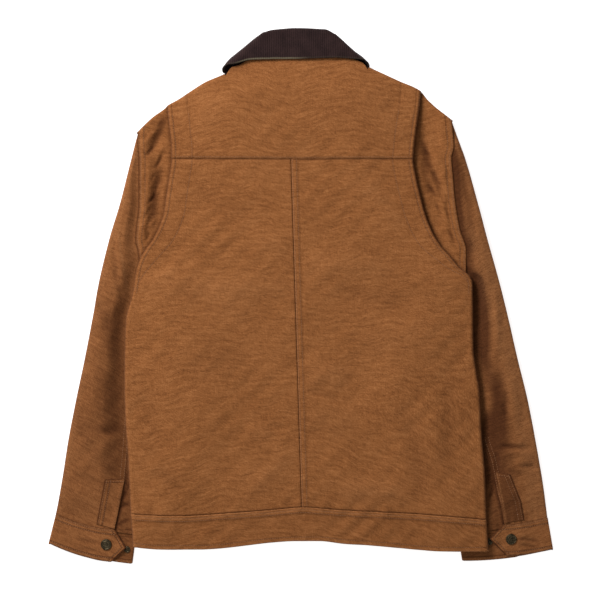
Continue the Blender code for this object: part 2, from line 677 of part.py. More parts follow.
def front_grid(side, bottom_line, top_line, columns, rows):
    """Outer and inner grid of a front panel or front band. Its outer face is the lower one."""
    lapped = side > 0
    inset = SIDE_RADIUS
    start = meet(lambda y: front_side(side, y) - side * inset, bottom_line, -310.0)
    end = meet(lambda y: front_side(side, y), top_line, FRONT_TOP_Y[side])
    if end > UNDERARM_Y:
        heights = np.concatenate([
            np.linspace(start, UNDERARM_Y, rows)[:-1], armhole_heights(side)[:-1], [end]
        ])
    else:
        heights = np.linspace(start, end, rows)
    rows = len(heights)
    edge = np.stack([front_side(side, heights), heights], axis=1)
    normal = outward(edge, (side, 0.0))
    rolled = smooth((SIDE_TOP_Y + SIDE_TOP_RISE - heights) / SIDE_TOP_BLEND)
    reach = lerp(SEAM_REACH, inset, rolled)
    moved = edge - normal * reach[:, None]
    moved[-1] = (front_side(side, end) - side * SEAM_REACH, end)
    middle = -side * LAP_HALF
    middle_heights = np.linspace(float(bottom_line(middle)), float(top_line(middle)), rows)
    centre = np.stack([np.full(rows, middle), middle_heights], axis=1)
    bottom_x = np.linspace(moved[0, 0], middle, columns)
    if end > UNDERARM_Y:
        neck_x = neck_columns(side)
        shoulder_x = np.linspace(moved[-1, 0], neck_x[0], columns - NECK_COLUMNS + 1)
        top_x = np.concatenate([shoulder_x[:-1], neck_x])
    else:
        top_x = np.linspace(moved[-1, 0], middle, columns)
    bottom = np.stack([bottom_x, bottom_line(bottom_x)], axis=1)
    top = np.stack([top_x, top_line(top_x)], axis=1)
    bottom[0], top[0] = moved[0], moved[-1]
    plan = coons(moved, centre, bottom, top)
    low = front_low(plan[..., 0], plan[..., 1], lapped)
    outer = [with_height(plan[:, j], low[:, j]) for j in range(columns)]
    inner = [with_height(plan[:, j], low[:, j] + BODY_WALL) for j in range(columns)]
    for k in range(1, FOLD_STEPS + 1):
        angle = math.pi / 2 * k / FOLD_STEPS
        rise = EDGE_LOW(heights) - SEAM_GAP - low[:, 0]
        for grid, spread, lift, height in (
            (outer, reach, rise, low[:, 0]),
            (inner, reach - BODY_WALL, rise - BODY_WALL, low[:, 0] + BODY_WALL),
        ):
            flat = with_height(plan[:, 0] + normal * (reach * k / FOLD_STEPS)[:, None], height)
            round_plan = plan[:, 0] + normal * (spread * math.sin(angle))[:, None]
            rounded = with_height(round_plan, height + lift * (1 - math.cos(angle)))
            grid.insert(0, lerp(flat, rounded, rolled[:, None]))
    return np.stack(outer, axis=1), np.stack(inner, axis=1)


def make_front(side):
    half = SEAM_GAP / 2
    name = SIDE_NAME[side]
    above_hem = offset_line(HEM, half)
    outer, inner = front_grid(side, above_hem, lambda x: front_top(side, x) - SEAM_GAP, 9, 9)
    wall(f"front_{name}", outer, inner)
    outer, inner = front_grid(side, HEM_LOW, offset_line(HEM, -half), 9, 3)
    wall(f"band_front_{name}", outer, inner)


def top_inner(side, y):
    """x where the upper sleeve ends on the upper face: under the gusset, then the hindarm seam."""
    under_gusset = GUSSET[side](y) - side * TUCK
    share = smooth((y - GUSSET_FOOT[side] + TUCK) / TUCK_BLEND)
    return lerp(HINDARM[side](np.minimum(y, GUSSET_FOOT[side])), under_gusset, share)


def lower_seam(side, y):
    """x where the upper sleeve ends on the lower face: the armhole, then the forearm seam."""
    forearm = sleeve_inner(side, y) + side * UNDER_WIDTH(np.minimum(y, UNDERARM_Y))
    tucked = ARMHOLE_TUCK * smooth((ARMHOLE_TUCK_TOP - y) / ARMHOLE_TUCK_BLEND)
    armhole = ARMHOLE[side](np.minimum(y, FRONT_TOP_Y[side])) + side * (2 * SEAM_GAP - tucked)
    across, down = FLAP_SHIFT[side]
    above = smooth((y - FRONT_TOP_Y[side]) / ARMHOLE_TOP_BLEND)
    share = (y - FRONT_TOP_Y[side]) / -down
    armhole = armhole - across * share * above
    return lerp(forearm, armhole, smooth((y - UNDERARM_Y) / UNDERARM_RUN))


def sleeve_top(side, x, y):
    """Upper face of a sleeve: low under the body, a crest beside it, lower again at the fold."""
    gusset = GUSSET[side](np.maximum(y, GUSSET_END_Y))
    body = side * np.maximum(side * EDGE[side](y), side * gusset)
    beyond = side * (x - body)
    share = beyond / np.maximum(side * (SLEEVE[side](y) - body), CREST_LEAST_WIDTH)
    crest = SLEEVE_CREST * smooth((beyond - CREST_START) / CREST_BLEND)
    drop = smooth((share - CREST_DROP_START) / (1 - CREST_DROP_START))
    return SLEEVE_TOP + crest - CREST_DROP * crest * drop


def cuff_point(cuff, v, s):
    """Plan point on the upper side of a cuff: v down its width, s from the tab to the fold."""
    fold = lerp(np.array(cuff["outer"][0]), np.array(cuff["outer"][1]), v)
    tab = np.array([float(through(cuff["tab"], k, sharp=True)(v)) for k in (1, 2)])
    bow = np.array([0.0, -4 * cuff["bow"] * s * (1 - s)])
    return lerp(tab, fold, s) + bow


def cuff_seam_y(side, x):
    """y of the cuff seam on the upper face."""
    cuff = CUFF[side]
    shares = np.linspace(-0.3, 1.05, 28)
    line = np.array([cuff_point(cuff, 0.0, s) for s in shares])
    order = np.argsort(line[:, 0])
    return np.interp(x, line[order, 0], line[order, 1])


def cuff_seam_low_y(side, x):
    """y of the cuff seam on the lower face, a straight line between the folds."""
    (x0, y0), (x1, y1) = CUFF[side]["outer"][0], CUFF[side]["inner"][0]
    return y0 + (y1 - y0) * (x - x0) / (x1 - x0)


def sleeve_rows(side, line, seam_y, head, gap):
    """Plan points down a sleeve, along x = line(y), from its head or the underarm to the cuff."""
    end = meet(line, lambda x: float(seam_y(side, x)) + gap, -325.0)
    heights = np.linspace(UNDERARM_Y, end, SLEEVE_ROWS)
    if head:
        heights = np.concatenate([armhole_heights(side)[:0:-1], heights])
    else:
        heights[0] -= UNDERARM_GAP
    return np.stack([line(heights), heights], axis=1)


def wrapped(plan_top, plan_low, normal, top, low, radius, thickness, steps_top, steps_low):
    """A sheet that crosses from plan_top[0] to a fold, rolls under and ends at plan_low[0]. Each
    pair holds the point where the sheet ends and the point where the fold starts, per row."""
    outer, inner = [], []
    middle = (top(plan_top[1]) + low(plan_low[1])) / 2
    for k in range(steps_top):
        plan = lerp(plan_top[0], plan_top[1], k / steps_top)
        outer.append(with_height(plan, top(plan)))
        inner.append(with_height(plan, top(plan) - thickness))
    for k in range(TURN_STEPS + 1):
        angle = math.pi * k / TURN_STEPS
        plan = lerp(plan_top[1], plan_low[1], k / TURN_STEPS)
        rise = top(plan_top[1]) - middle
        for grid, spread, lift in ((outer, radius, rise), (inner, radius - thickness, rise - thickness)):
            moved = plan + normal * (spread * math.sin(angle))
            grid.append(with_height(moved, middle + lift * math.cos(angle)))
    for k in range(1, steps_low + 1):
        plan = lerp(plan_low[1], plan_low[0], k / steps_low)
        outer.append(with_height(plan, low(plan)))
        inner.append(with_height(plan, low(plan) + thickness))
    return np.stack(outer, axis=1), np.stack(inner, axis=1)


def make_sleeve(side):
    name = SIDE_NAME[side]
    radius = SLEEVE_FOLD

    def top_face(plan):
        return sleeve_top(side, plan[..., 0], plan[..., 1])

    def low_face(plan):
        return np.zeros(len(plan))

    def fold(y):
        return SLEEVE[side](y) - side * radius

    def along(line, seam_y, shift, head):
        return sleeve_rows(side, lambda y: line(y) + side * shift, seam_y, head, 2 * SEAM_GAP)

    def hindarm(y):
        return top_inner(side, y)

    def lower(y):
        return lower_seam(side, y)

    top_end = along(hindarm, cuff_seam_y, SEAM_GAP, True)
    top_fold = along(fold, cuff_seam_y, 0.0, True)
    low_fold = along(fold, cuff_seam_low_y, 0.0, True)
    low_end = along(lower, cuff_seam_low_y, SEAM_GAP, True)
    outer, inner = wrapped(
        (top_end, top_fold), (low_end, low_fold), np.array([side, 0.0]), top_face, low_face,
        radius, SLEEVE_WALL, 4, 3,
    )
    wall(f"sleeve_upper_{name}", outer, inner)

    radius = SLEEVE_TOP / 2

    def inner_fold(y):
        return sleeve_inner(side, y) + side * radius

    top_end = along(hindarm, cuff_seam_y, -SEAM_GAP, False)
    top_fold = along(inner_fold, cuff_seam_low_y, 0.0, False)
    low_end = along(lower, cuff_seam_low_y, -SEAM_GAP, False)
    outer, inner = wrapped(
        (top_end, top_fold), (low_end, top_fold), np.array([-side, 0.0]), top_face, low_face,
        radius, SLEEVE_WALL, 3, 2,
    )
    wall(f"sleeve_under_{name}", outer, inner)


def make_placket(side):
    table = np.array(PLACKET[side], float)
    rows, columns = 6, 3
    share = np.linspace(0, len(table) - 1, rows)
    place = np.arange(len(table))
    free = np.stack([np.interp(share, place, table[:, k]) for k in (0, 1)], axis=1)
    fixed = np.stack([np.interp(share, place, table[:, k]) for k in (2, 3)], axis=1)
    plan = np.stack([lerp(free, fixed, u) for u in np.linspace(0, 1, columns)], axis=1)
    low = sleeve_top(side, plan[..., 0], plan[..., 1]) + LAYER_GAP
    outer, inner = with_height(plan, low + STRIP_WALL), with_height(plan, low)
    wall(f"sleeve_placket_{SIDE_NAME[side]}", outer, inner)


def make_cuff(side):
    """One strip: the pointed tab and the upper side, the outer fold, the lower side, the inner
    fold, and the end under the tab."""
    cuff = CUFF[side]
    widths = np.array(CUFF_WIDTHS[side])
    outer_top = np.stack([cuff_point(cuff, v, 1.0) for v in widths])
    inner_top = np.stack([
        lerp(np.array(cuff["inner"][0]), np.array(cuff["inner"][1]), v) for v in widths
    ])
    out_normal = np.array([side, 0.0])
    in_normal = -out_normal
    out_radius = (CUFF_OUTER_LOW + CUFF_WALL) / 2
    in_radius = (UNDER_CUFF_LOW + CUFF_WALL) / 2
    outer, inner = [], []
    length = np.linalg.norm(outer_top - np.stack([cuff_point(cuff, v, 0.0) for v in widths]), axis=1)
    end_share = 1 - out_radius / length
    for s in np.linspace(0, 1, UPPER_COLUMNS):
        plan = np.stack([cuff_point(cuff, v, s * e) for v, e in zip(widths, end_share)])
        low = tab_low(side, cuff, plan)
        outer.append(with_height(plan, low + CUFF_WALL))
        inner.append(with_height(plan, low))
    turn(outer, inner, plan, out_normal, out_radius, CUFF_WALL, 1)
    other = inner_top - in_normal * in_radius
    for s in LOWER_SHARES:
        across = lerp(plan, other, s)
        across[:, 1] -= 4 * CUFF_LOW_BOW * s * (1 - s)
        outer.append(with_height(across, np.zeros(len(widths))))
        inner.append(with_height(across, np.full(len(widths), CUFF_WALL)))
    turn(outer, inner, other, in_normal, in_radius, CUFF_WALL, -1)
    reach = np.linalg.norm(plan - other, axis=1)
    for s in UNDERLAP_SHARES:
        share = cuff["underlap"] * s / reach
        across = lerp(other, plan, share[:, None])
        across[:, 1] -= 4 * CUFF_LOW_BOW * share * (1 - share)
        outer.append(with_height(across, np.full(len(widths), UNDER_CUFF_LOW + CUFF_WALL)))
        inner.append(with_height(across, np.full(len(widths), UNDER_CUFF_LOW)))
    wall(f"cuff_{SIDE_NAME[side]}", np.stack(outer, axis=1), np.stack(inner, axis=1))


def tab_low(side, cuff, plan):
    """Lower face of the cuff's upper side: over the under end, lower towards the outer fold, and
    lifted at the tab's tip, which lies on the second snap."""
    tip = np.array(cuff["tab"][1][1:])
    past_snap = side * (plan[:, 0] - cuff["snap"][0])
    low = lerp(TAB_LOW, CUFF_OUTER_LOW, smooth((past_snap - TAB_FLAT) / TAB_BLEND))
    near = np.linalg.norm(plan - tip, axis=1)
    return low + TAB_TIP_LIFT * (1 - smooth((near - TIP_FLAT) / TIP_BLEND))


def turn(outer, inner, plan, normal, radius, thickness, down):
    """Adds the columns of a half turn about a fold: from the upper face down, or back up."""
    for k in range(1, TURN_STEPS + 1):
        angle = math.pi * k / TURN_STEPS
        for grid, spread in ((outer, radius), (inner, radius - thickness)):
            moved = plan + normal * (spread * math.sin(angle))
            height = np.full(len(plan), radius + down * spread * math.cos(angle))
            grid.append(with_height(moved, height))


def disc(name, centre, bottom, profile, colour, roughness):
    """A turned piece: profile gives radius and height above its bottom, from the base to the top."""
    sides = SNAP_SIDES
    angles = np.linspace(0, 2 * math.pi, sides, endpoint=False)
    points, faces = [(*centre, bottom)], []
    for radius, height in profile:
        points += [
            (centre[0] + radius * math.cos(a), centre[1] + radius * math.sin(a), bottom + height)
            for a in angles
        ]
    points.append((*centre, bottom + profile[-1][1]))
    last = len(points) - 1
    for k in range(sides):
        after = (k + 1) % sides
        faces.append([0, 1 + after, 1 + k])
        for ring in range(len(profile) - 1):
            a, b = 1 + ring * sides, 1 + (ring + 1) * sides
            faces.append([a + k, a + after, b + after, b + k])
        top = 1 + (len(profile) - 1) * sides
        faces.append([top + k, top + after, last])
    solid(name, colour, roughness, 0.9, points, faces)


def make_snaps(side):
    cuff = CUFF[side]
    name = SIDE_NAME[side]
    seat = float(tab_low(side, cuff, np.array([cuff["snap"]]))[0]) + CUFF_WALL + SNAP_SEAT
    disc(f"snap_cap_{name}", cuff["snap"], seat, SNAP_CAP, BRASS, 0.4)
    seat = UNDER_CUFF_LOW + CUFF_WALL + SEAM_GAP
    disc(f"snap_stud_{name}", cuff["stud"], seat, SNAP_STUD, BRASS, 0.4)


def collar_stations():
    """Sections round the collar from the left opening to the right one: plan points on the roll,
    on the fall's edge and on the neck seam, the fold's outward direction, and the turn."""
    stations = []
    for side, table in ((-1, COLLAR_FRONT_LEFT), (1, COLLAR_FRONT_RIGHT)):
        leaf = []
        for row, neck_x in zip(table[:0:-1], neck_columns(side)[-2::-1]):
            neck = (neck_x - side * NECK_GAP, float(front_top(side, neck_x)) + SEAM_GAP)
            leaf.append([row[:2], row[2:], neck, math.pi, 0.0])
        leaf.append([table[0][:2], table[0][2:], COLLAR_NECK_FOLD[side], math.pi, 0.0])
        folded = [
            [*leaf[-1][:3], math.pi * (1 - k / TURN_STEPS), 0.0] for k in range(1, TURN_STEPS + 1)
        ]
        stations.append(leaf + folded)
    left, right = stations
    back = []
    roll, edge = through(COLLAR_ROLL), through(COLLAR_EDGE)
    for share in np.linspace(0, 1, 11)[1:-1]:
        roll_x = lerp(COLLAR_ROLL[0][0], COLLAR_ROLL[-1][0], share)
        edge_x = lerp(COLLAR_EDGE[0][0], COLLAR_EDGE[-1][0], share)
        neck_x = lerp(COLLAR_NECK_FOLD[-1][0], COLLAR_NECK_FOLD[1][0], share)
        back.append([
            (roll_x, float(roll(roll_x))), (edge_x, float(edge(edge_x))),
            (neck_x, float(TOP(neck_x)) + NECK_GAP), 0.0, COLLAR_SAG * 4 * share * (1 - share),
        ])
    return left, back, right[::-1]


def make_collar():
    left, back, right = collar_stations()
    rows = []
    for side, group in ((-1, left), (0, back), (1, right)):
        for roll, edge, neck, angle, sag in group:
            rows.append((np.array(roll), np.array(edge), np.array(neck), side, angle, sag))
    axis = {}
    for side, table in ((-1, COLLAR_FRONT_LEFT), (1, COLLAR_FRONT_RIGHT)):
        along = np.array(table[0][2:4], float) - np.array(table[0][:2], float)
        normal = np.array([-along[1], along[0]]) / np.linalg.norm(along)
        axis[side] = normal * np.sign(normal[1])
    axis[0] = np.zeros(2)
    curl = (FALL_REACH - STAND_REACH) / 2
    middle = (FALL_REACH + STAND_REACH) / 2
    thin = curl - COLLAR_WALL

    def grid(angles, end_of, steps):
        outer, inner = [], []
        for roll, edge, neck, side, turned, sag in rows:
            end = end_of(edge, neck)
            along = (end - roll) / np.linalg.norm(end - roll)
            sheet = []
            for spread in (curl, thin):
                line = []
                for a in angles:
                    plan = roll + along * (curl - spread * math.sin(a))
                    line.append((plan, middle + spread * math.cos(a)))
                face = middle + spread * math.cos(angles[-1])
                start = roll + along * curl
                for k in range(1, steps + 1):
                    line.append((lerp(start, end, k / steps), face))
                sheet.append(line)
            for target, line in zip((outer, inner), sheet):
                target.append([
                    (*(plan + axis[side] * reach * math.sin(turned)),
                     COLLAR_MID + reach * math.cos(turned) - sag)
                    for plan, reach in line
                ])
        return np.array(outer), np.array(inner)

    quarter = math.pi / 2
    fall = [quarter * share for share in (0.95, 0.5, 0.0)]
    stand = [quarter * share for share in (1.05, 1.5, 2.0)]
    outer, inner = grid(fall, lambda edge, neck: edge, 4)
    wall("collar_fall", outer, inner, colour=CORDUROY)
    outer, inner = grid(stand, lambda edge, neck: neck, 2)
    wall("collar_stand", outer, inner, colour=CORDUROY)


def main():
    for old in list(bpy.data.objects):
        bpy.data.objects.remove(old, do_unlink=True)
    make_back()
    make_yoke()
    make_collar()
    for side in (-1, 1):
        make_gusset(side)
        make_front(side)
        make_sleeve(side)
        make_placket(side)
        make_cuff(side)
        make_snaps(side)


main()
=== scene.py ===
"""The looks of a ranch jacket laid flat on its front, back up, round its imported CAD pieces.

Tables and sizes are in millimetres, in the part's own frame: X runs to the wearer's right, +Y
towards the collar and +Z up from the surface. Each cloth is a grid of points on one of its faces,
given an even thickness and rounded rims. Folds and creases are soft ridges and troughs, placed one
by one. The stitches are threads laid on the finished cloths.

Known fault: the collar's fall is thickened outwards from its grid. In front that is into the
floor, where every point is set to height 0, so the fall has no thickness there. It doesn't show
from above.
"""

import math

import bpy
import numpy as np
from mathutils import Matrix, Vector
from mathutils.bvhtree import BVHTree


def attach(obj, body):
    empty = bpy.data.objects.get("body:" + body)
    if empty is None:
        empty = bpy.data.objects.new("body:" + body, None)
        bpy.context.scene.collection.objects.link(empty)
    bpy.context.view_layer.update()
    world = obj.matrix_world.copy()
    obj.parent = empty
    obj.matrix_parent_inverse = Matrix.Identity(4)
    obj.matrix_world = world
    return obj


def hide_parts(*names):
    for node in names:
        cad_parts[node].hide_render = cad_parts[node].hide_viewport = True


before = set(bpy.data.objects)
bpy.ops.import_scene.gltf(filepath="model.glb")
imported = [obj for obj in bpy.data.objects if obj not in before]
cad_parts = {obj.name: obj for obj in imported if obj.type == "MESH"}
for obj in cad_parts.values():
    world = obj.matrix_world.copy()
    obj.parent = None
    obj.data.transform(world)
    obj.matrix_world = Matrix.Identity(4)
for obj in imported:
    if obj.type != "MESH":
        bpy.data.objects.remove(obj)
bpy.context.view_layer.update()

MM = 0.001
SHIFT_X = -0.7  # brings the middle of the outline onto the origin, as in the CAD part
COARSE = 1.0  # wider cells while trying things

# Sizes of the CAD part. A table with the keys -1 and 1 holds the wearer's left and right.
BODY_WALL = 3.0
SEAM_GAP = 0.3  # between two pieces at a seam
LAYER_GAP = 0.6  # between two cloths that lie on each other
BACK_LOW = 7.2  # height of the back's lower face
SLEEVE_LIFT = 8.0  # the fronts rise this much over the sleeves
BACK_LIFT = 5.7  # and the back this much
LAP_HALF = 15.0  # each front ends this far past the middle
LAP_REACH = 24.0
LAP_BLEND = 30.0
LEAF_LIFT = 3.1  # the cloths rise this much over the collar's front
LEAF_BLEND = 55.0
NECK_EASE = 0.6  # share of that rise which the back loses at the neck
SLEEVE_TOP = 6.0  # diameter of the under sleeve's fold
GUSSET_HIDDEN = 26.0  # how far a gusset reaches under the back's edge
GUSSET_HIDDEN_FOOT = 8.0  # and at its foot
GUSSET_INSET = 4.6  # how far inside the outline a gusset turns over the shoulder
GUSSET_HIDDEN_INSET = 8.0  # and under the yoke
YOKE_INSET = 5.4  # the same of the yoke
TUCK = 6.0  # how far a sleeve's head reaches under the gusset
UNDERARM_Y = 0.0
UNDERARM_BLEND = 52.0
SLEEVE_BLEND = 75.0
SLEEVE_MARGIN = 14.0
EDGE_BLEND = 45.0
SIDE_RADIUS = 3.7  # of the fold at the side, up to SIDE_TOP_Y
SIDE_TOP_Y = -30.0
FLAP_SHIFT = {-1: (19.0, -29.4), 1: (-17.0, -30.5)}  # from shoulder to the flap's end: x, y
ARMHOLE_TUCK = 3.0
ARMHOLE_TUCK_TOP = 24.0
UNDERARM_GAP = 2.0
NECK_GAP = 1.1

# Thickness of the cloths
CLOTH = 1.1
CUFF_CLOTH = 2.3
COLLAR_CLOTH = 2.3
STRIP_CLOTH = 1.2
SEAM_STAND = 0.46  # a cloth stops this far from its seam line, and its rounded rim fills the rest

# Edges of the back: y, x
LEFT_EDGE = [
    (-362, -238.0), (-353, -238.0), (-307, -241.0), (-231, -244.7), (-177, -248.5), (-123, -250.0),
    (-67, -249.5), (-30, -247.4), (-5, -240.7), (10, -237.3), (35, -233.6), (48, -229.6),
    (61, -223.4), (81, -209.5), (99, -200.5), (118, -194.0), (143, -190.4), (168, -186.6),
    (194, -183.0), (208, -183.0), (240, -186.0), (271, -189.4),
]
RIGHT_EDGE = [
    (-362, 266.8), (-317, 264.0), (-249, 261.4), (-195, 257.0), (-135, 254.0), (-100, 248.5),
    (-78, 245.5), (-5, 244.5), (20, 243.8), (29, 240.0), (40, 226.5), (56, 213.0), (73, 198.0),
    (92, 186.7), (118, 176.5), (143, 170.0), (168, 164.0), (195, 160.0), (216, 161.7),
    (243, 165.0), (271, 169.4), (292, 171.0),
]
# Height of the back's upper face along both edges: y, height
EDGE_HEIGHTS = [
    (-362, 15.0), (-40, 15.5), (0, 15.3), (50, 14.3), (65, 13.2), (85, 12.4), (110, 11.6),
    (292, 11.6),
]
# Outer edges of the gussets: y, x
LEFT_GUSSET = [
    (40, -228.5), (51, -229.0), (63, -230.3), (80, -233.7), (105, -231.6), (130, -229.0),
    (156, -229.0), (194, -229.0), (204, -230.0), (226, -231.0), (236, -230.2),
]
RIGHT_GUSSET = [
    (25, 235.2), (35, 235.0), (65, 235.0), (95, 226.0), (124, 220.8), (149, 217.7), (165, 216.6),
    (197, 214.0), (213, 217.3), (252, 214.0),
]
# Outer folds of the sleeves: y, x
LEFT_SLEEVE = [
    (-352, -360.0), (-332, -354.0), (-303, -347.0), (-261, -339.0), (-204, -330.0), (-147, -319.0),
    (-90, -307.0), (-33, -296.0), (23, -286.0), (80, -272.0), (137, -255.0), (194, -241.0),
    (222, -234.0), (236, -230.2),
]
RIGHT_SLEEVE = [
    (-360, 360.0), (-332, 354.0), (-303, 350.0), (-261, 344.0), (-204, 334.0), (-147, 323.0),
    (-90, 309.0), (-33, 296.0), (23, 282.0), (80, 266.0), (137, 251.0), (194, 235.0),
    (222, 225.0), (252, 214.5),
]
# Sleeve laid flat: y, width from fold to fold, width of the under sleeve on the lower face
SLEEVE_WIDTHS = [
    (-345, 121, 22), (-280, 136, 30), (-180, 159, 45), (-110, 159, 50), (-60, 134, 38),
    (-30, 106, 24), (0, 77, 4),
]
# Hindarm seam on the upper face: y, x. Above the first row it runs under the gusset.
LEFT_HINDARM = [(-332, -264.0), (-256, -249.0), (-180, -243.0), (-60, -236.0), (40, -226.0)]
RIGHT_HINDARM = [
    (-324, 289.4), (-298, 284.6), (-277, 279.0), (-236, 271.0), (-196, 260.0), (-67, 257.0),
    (25, 229.0),
]
# Armholes on the fronts: y, x
LEFT_ARMHOLE = [
    (0, -216.0), (20, -207.0), (45, -197.0), (90, -188.5), (150, -192.0), (180, -199.0),
    (206, -211.0),
]
RIGHT_ARMHOLE = [
    (0, 224.0), (20, 214.0), (45, 203.0), (90, 184.0), (150, 180.0), (190, 186.0), (222, 196.5),
]

# Shoulder line and neck seam of the back: x, y
TOP_LINE = [
    (-230.2, 235.6), (-222, 244.0), (-208.5, 256.5), (-194.8, 266.4), (-189.4, 270.9),
    (-172, 281.0), (-158.6, 290.0), (-136, 304.0), (-107, 317.0), (-96, 325.0), (-85, 328.7),
    (-76, 334.0), (-40, 341.0), (0, 343.0), (40, 342.0), (77, 335.5), (96.7, 326.0),
    (113, 318.5), (140, 306.4), (171, 291.8), (180, 281.4), (191, 270.7), (214, 252.2),
]
NECK_LEFT, NECK_RIGHT = -107.0, 96.7
# Neck seam of the fronts: x, y
FRONT_NECK_SEAM = [
    (-90, 290.0), (-62, 264.0), (-30, 257.0), (0, 255.5), (28, 258.0), (58, 270.0), (82, 298.0),
]
# Lower edge of the collar's front: x, y
LEAF_LOW = [
    (-235, 420), (-165, 400), (-128, 300), (-118, 246), (-86, 216), (-8, 258), (8, 258),
    (80, 220), (106, 250), (114, 305), (152, 400), (235, 420),
]

# Seams across the back: x, y
YOKE_SEAM = [(-190, 196.0), (0, 195.0), (165, 195.7)]
HEM_SEAM = [
    (-250, -307.5), (-166, -310.6), (-99, -306.6), (-17, -300.0), (0, -298.3), (56, -302.5),
    (190, -309.3), (268, -316.5),
]
HEM_BOTTOM = [
    (-245, -352.0), (-228, -356.0), (-177, -359.0), (-143, -359.0), (-109, -357.0), (-75, -353.0),
    (-40, -349.0), (-6, -347.0), (28, -347.0), (62, -351.0), (96, -353.0), (130, -356.0),
    (164, -359.0), (198, -361.0), (270, -361.0),
]
CENTRE_SEAM = [(-320, 2.2), (196, -13.6)]  # y, x

# Collar: the roll line and the edge of the fall, on the back: x, y
COLLAR_ROLL = [
    (-53, 367.8), (-46, 374.2), (-30, 376.6), (-6, 378.3), (31, 376.6), (44, 374.0), (50, 364.4),
]
COLLAR_EDGE = [
    (-106, 317.0), (-101, 328.0), (-94, 333.0), (-75, 335.3), (-48, 336.8), (0, 337.3),
    (50, 338.8), (67, 338.0), (80, 335.5), (88, 332.0), (93, 323.0),
]
# and on the front, from the side fold to the opening: roll x, y, edge x, y
COLLAR_FRONT_LEFT = [
    (-53, 369, -106, 317), (-46, 345, -112, 297), (-34, 319, -108, 272), (-21, 292, -97, 249),
    (-6, 273, -78, 229),
]
COLLAR_FRONT_RIGHT = [
    (50, 367, 93, 323), (44, 345, 98, 302), (35, 319, 96, 277), (23, 292, 87, 254),
    (6, 273, 72, 234),
]
COLLAR_NECK_FOLD = {-1: (-95.5, 327.6), 1: (82.5, 334.4)}  # neck seam at the side folds
# Side folds of the collar: where the roll meets one, how far down it the fall's edge lies at each
# quarter of the turn, and how far it stands out: distance down the fold, reach
COLLAR_SIDE_ROLL = {-1: (-50.5, 372.4), 1: (46.6, 370.4)}
COLLAR_SIDE_EDGE = {-1: (60.0, 68.0, 76.0, 79.0, 79.2), 1: (47.0, 55.0, 63.5, 67.0, 67.6)}
COLLAR_SIDE_OUT = {
    -1: [(0, 1.0), (10, 3.6), (29, 5.3), (47, 7.2), (61, 8.6), (70, 8.6), (77, 6.6), (82, 3.4)],
    1: [(0, 0.6), (6, 2.2), (24, 3.0), (44, 4.6), (56, 7.8), (62, 7.0), (68, 4.6)],
}
COLLAR_SAG = 0.5
COLLAR_MID = 7.65  # height of the plane that the folded collar is mirrored about
FALL_REACH = 7.65  # grid of the fall, from that plane
STAND_REACH = 1.35  # grid of the stand, from that plane

# Cuffs: upper and lower corner of each fold, then the pointed tab: share of the width, x, y
LEFT_CUFF = {
    "outer": ((-348.5, -309.5), (-358.6, -350.0)),
    "inner": ((-233.5, -336.0), (-239.0, -379.0)),
    "tab": [(0.0, -264.4, -331.4), (0.56, -248.5, -356.4), (1.0, -269.4, -376.4)],
    "bow": 4.5,
    "underlap": 50.0,
    "snap": (-275.8, -352.0),
    "stud": (-246.5, -359.5),
}
RIGHT_CUFF = {
    "outer": ((352.0, -314.5), (359.6, -358.7)),
    "inner": ((223.0, -333.0), (230.0, -375.0)),
    "tab": [(0.0, 289.4, -324.3), (0.45, 269.7, -343.8), (1.0, 293.0, -367.4)],
    "bow": 2.0,
    "underlap": 76.0,
    "snap": (299.0, -344.5),
    "stud": (269.0, -348.5),
}
CUFF_WALL = 2.6
CUFF_LOW_BOW = 4.0
UNDER_CUFF_LOW = 3.0
TAB_LOW = 6.2
TAB_TIP_LIFT = 2.2
CUFF_OUTER_LOW = 3.6
SNAP_SEAT = 0.45

# Placket strips on the sleeves: free edge x, y and fixed edge x, y, from top to bottom
LEFT_PLACKET = [(-250.5, -260, -276.6, -260), (-264.0, -329, -289, -323)]
RIGHT_PLACKET = [(277.5, -250, 296, -252), (285.5, -292, 312, -291), (290.0, -321, 317, -317)]

# How much fuller than its solid the back lies
PUFF_MIDDLE = 5.0
PUFF_SIDE = 2.2
PUFF_PLEAT = 3.8
PUFF_HEM = 2.4

# The back's edges: y, how far the roll stands out, its lowest point, how far it turns, in degrees
EDGE_ROLL = [
    (-362, 6.0, 11.8, 90), (-30, 6.0, 11.8, 90), (10, 5.6, 11.2, 96), (45, 5.0, 10.2, 120),
    (70, 4.4, 8.8, 160), (100, 4.0, 7.6, 178), (240, 4.0, 7.6, 178), (262, 4.8, 6.8, 96),
    (292, 5.4, 6.4, 90),
]
# Rows of stitches: how far each runs from its seam or edge
PLEAT_STITCH = 6.4  # the row along the back's edges
FACING_STITCH = 29.5  # the faint row that holds the pleat's facing
FACING_END_Y = -6.0  # where it has curved out to the edge
CENTRE_ROWS = (2.1, 7.7)
YOKE_ROW = 2.2
HEM_ROWS = (3.7, 7.7)
HEM_EDGE_ROW = 6.0
GUSSET_ROWS = (2.4, 8.4)
HINDARM_ROWS = (2.0, 7.2)
PLACKET_ROWS = (2.2, 7.6)
PLACKET_END_ROW = 3.0
CUFF_ROWS = (2.2, 7.2)
CUFF_LOW_ROW = 4.6
CUFF_TAB_ROW = 4.4
FRONT_ROWS = (3.0, 9.0)

# Height of a sleeve's crest above the cloth at the body's edge: y, height
SLEEVE_CREST = [(-335, 4.0), (-290, 8.0), (-200, 11.5), (0, 11.8), (60, 8.6), (120, 6.2),
                (180, 4.2), (236, 2.2)]
SLEEVE_ROLL = 6.0  # the outer fold's reach
SLEEVE_HEAD_LIFT = 3.0  # the sleeve head and the gusset's outer seam lie this much higher

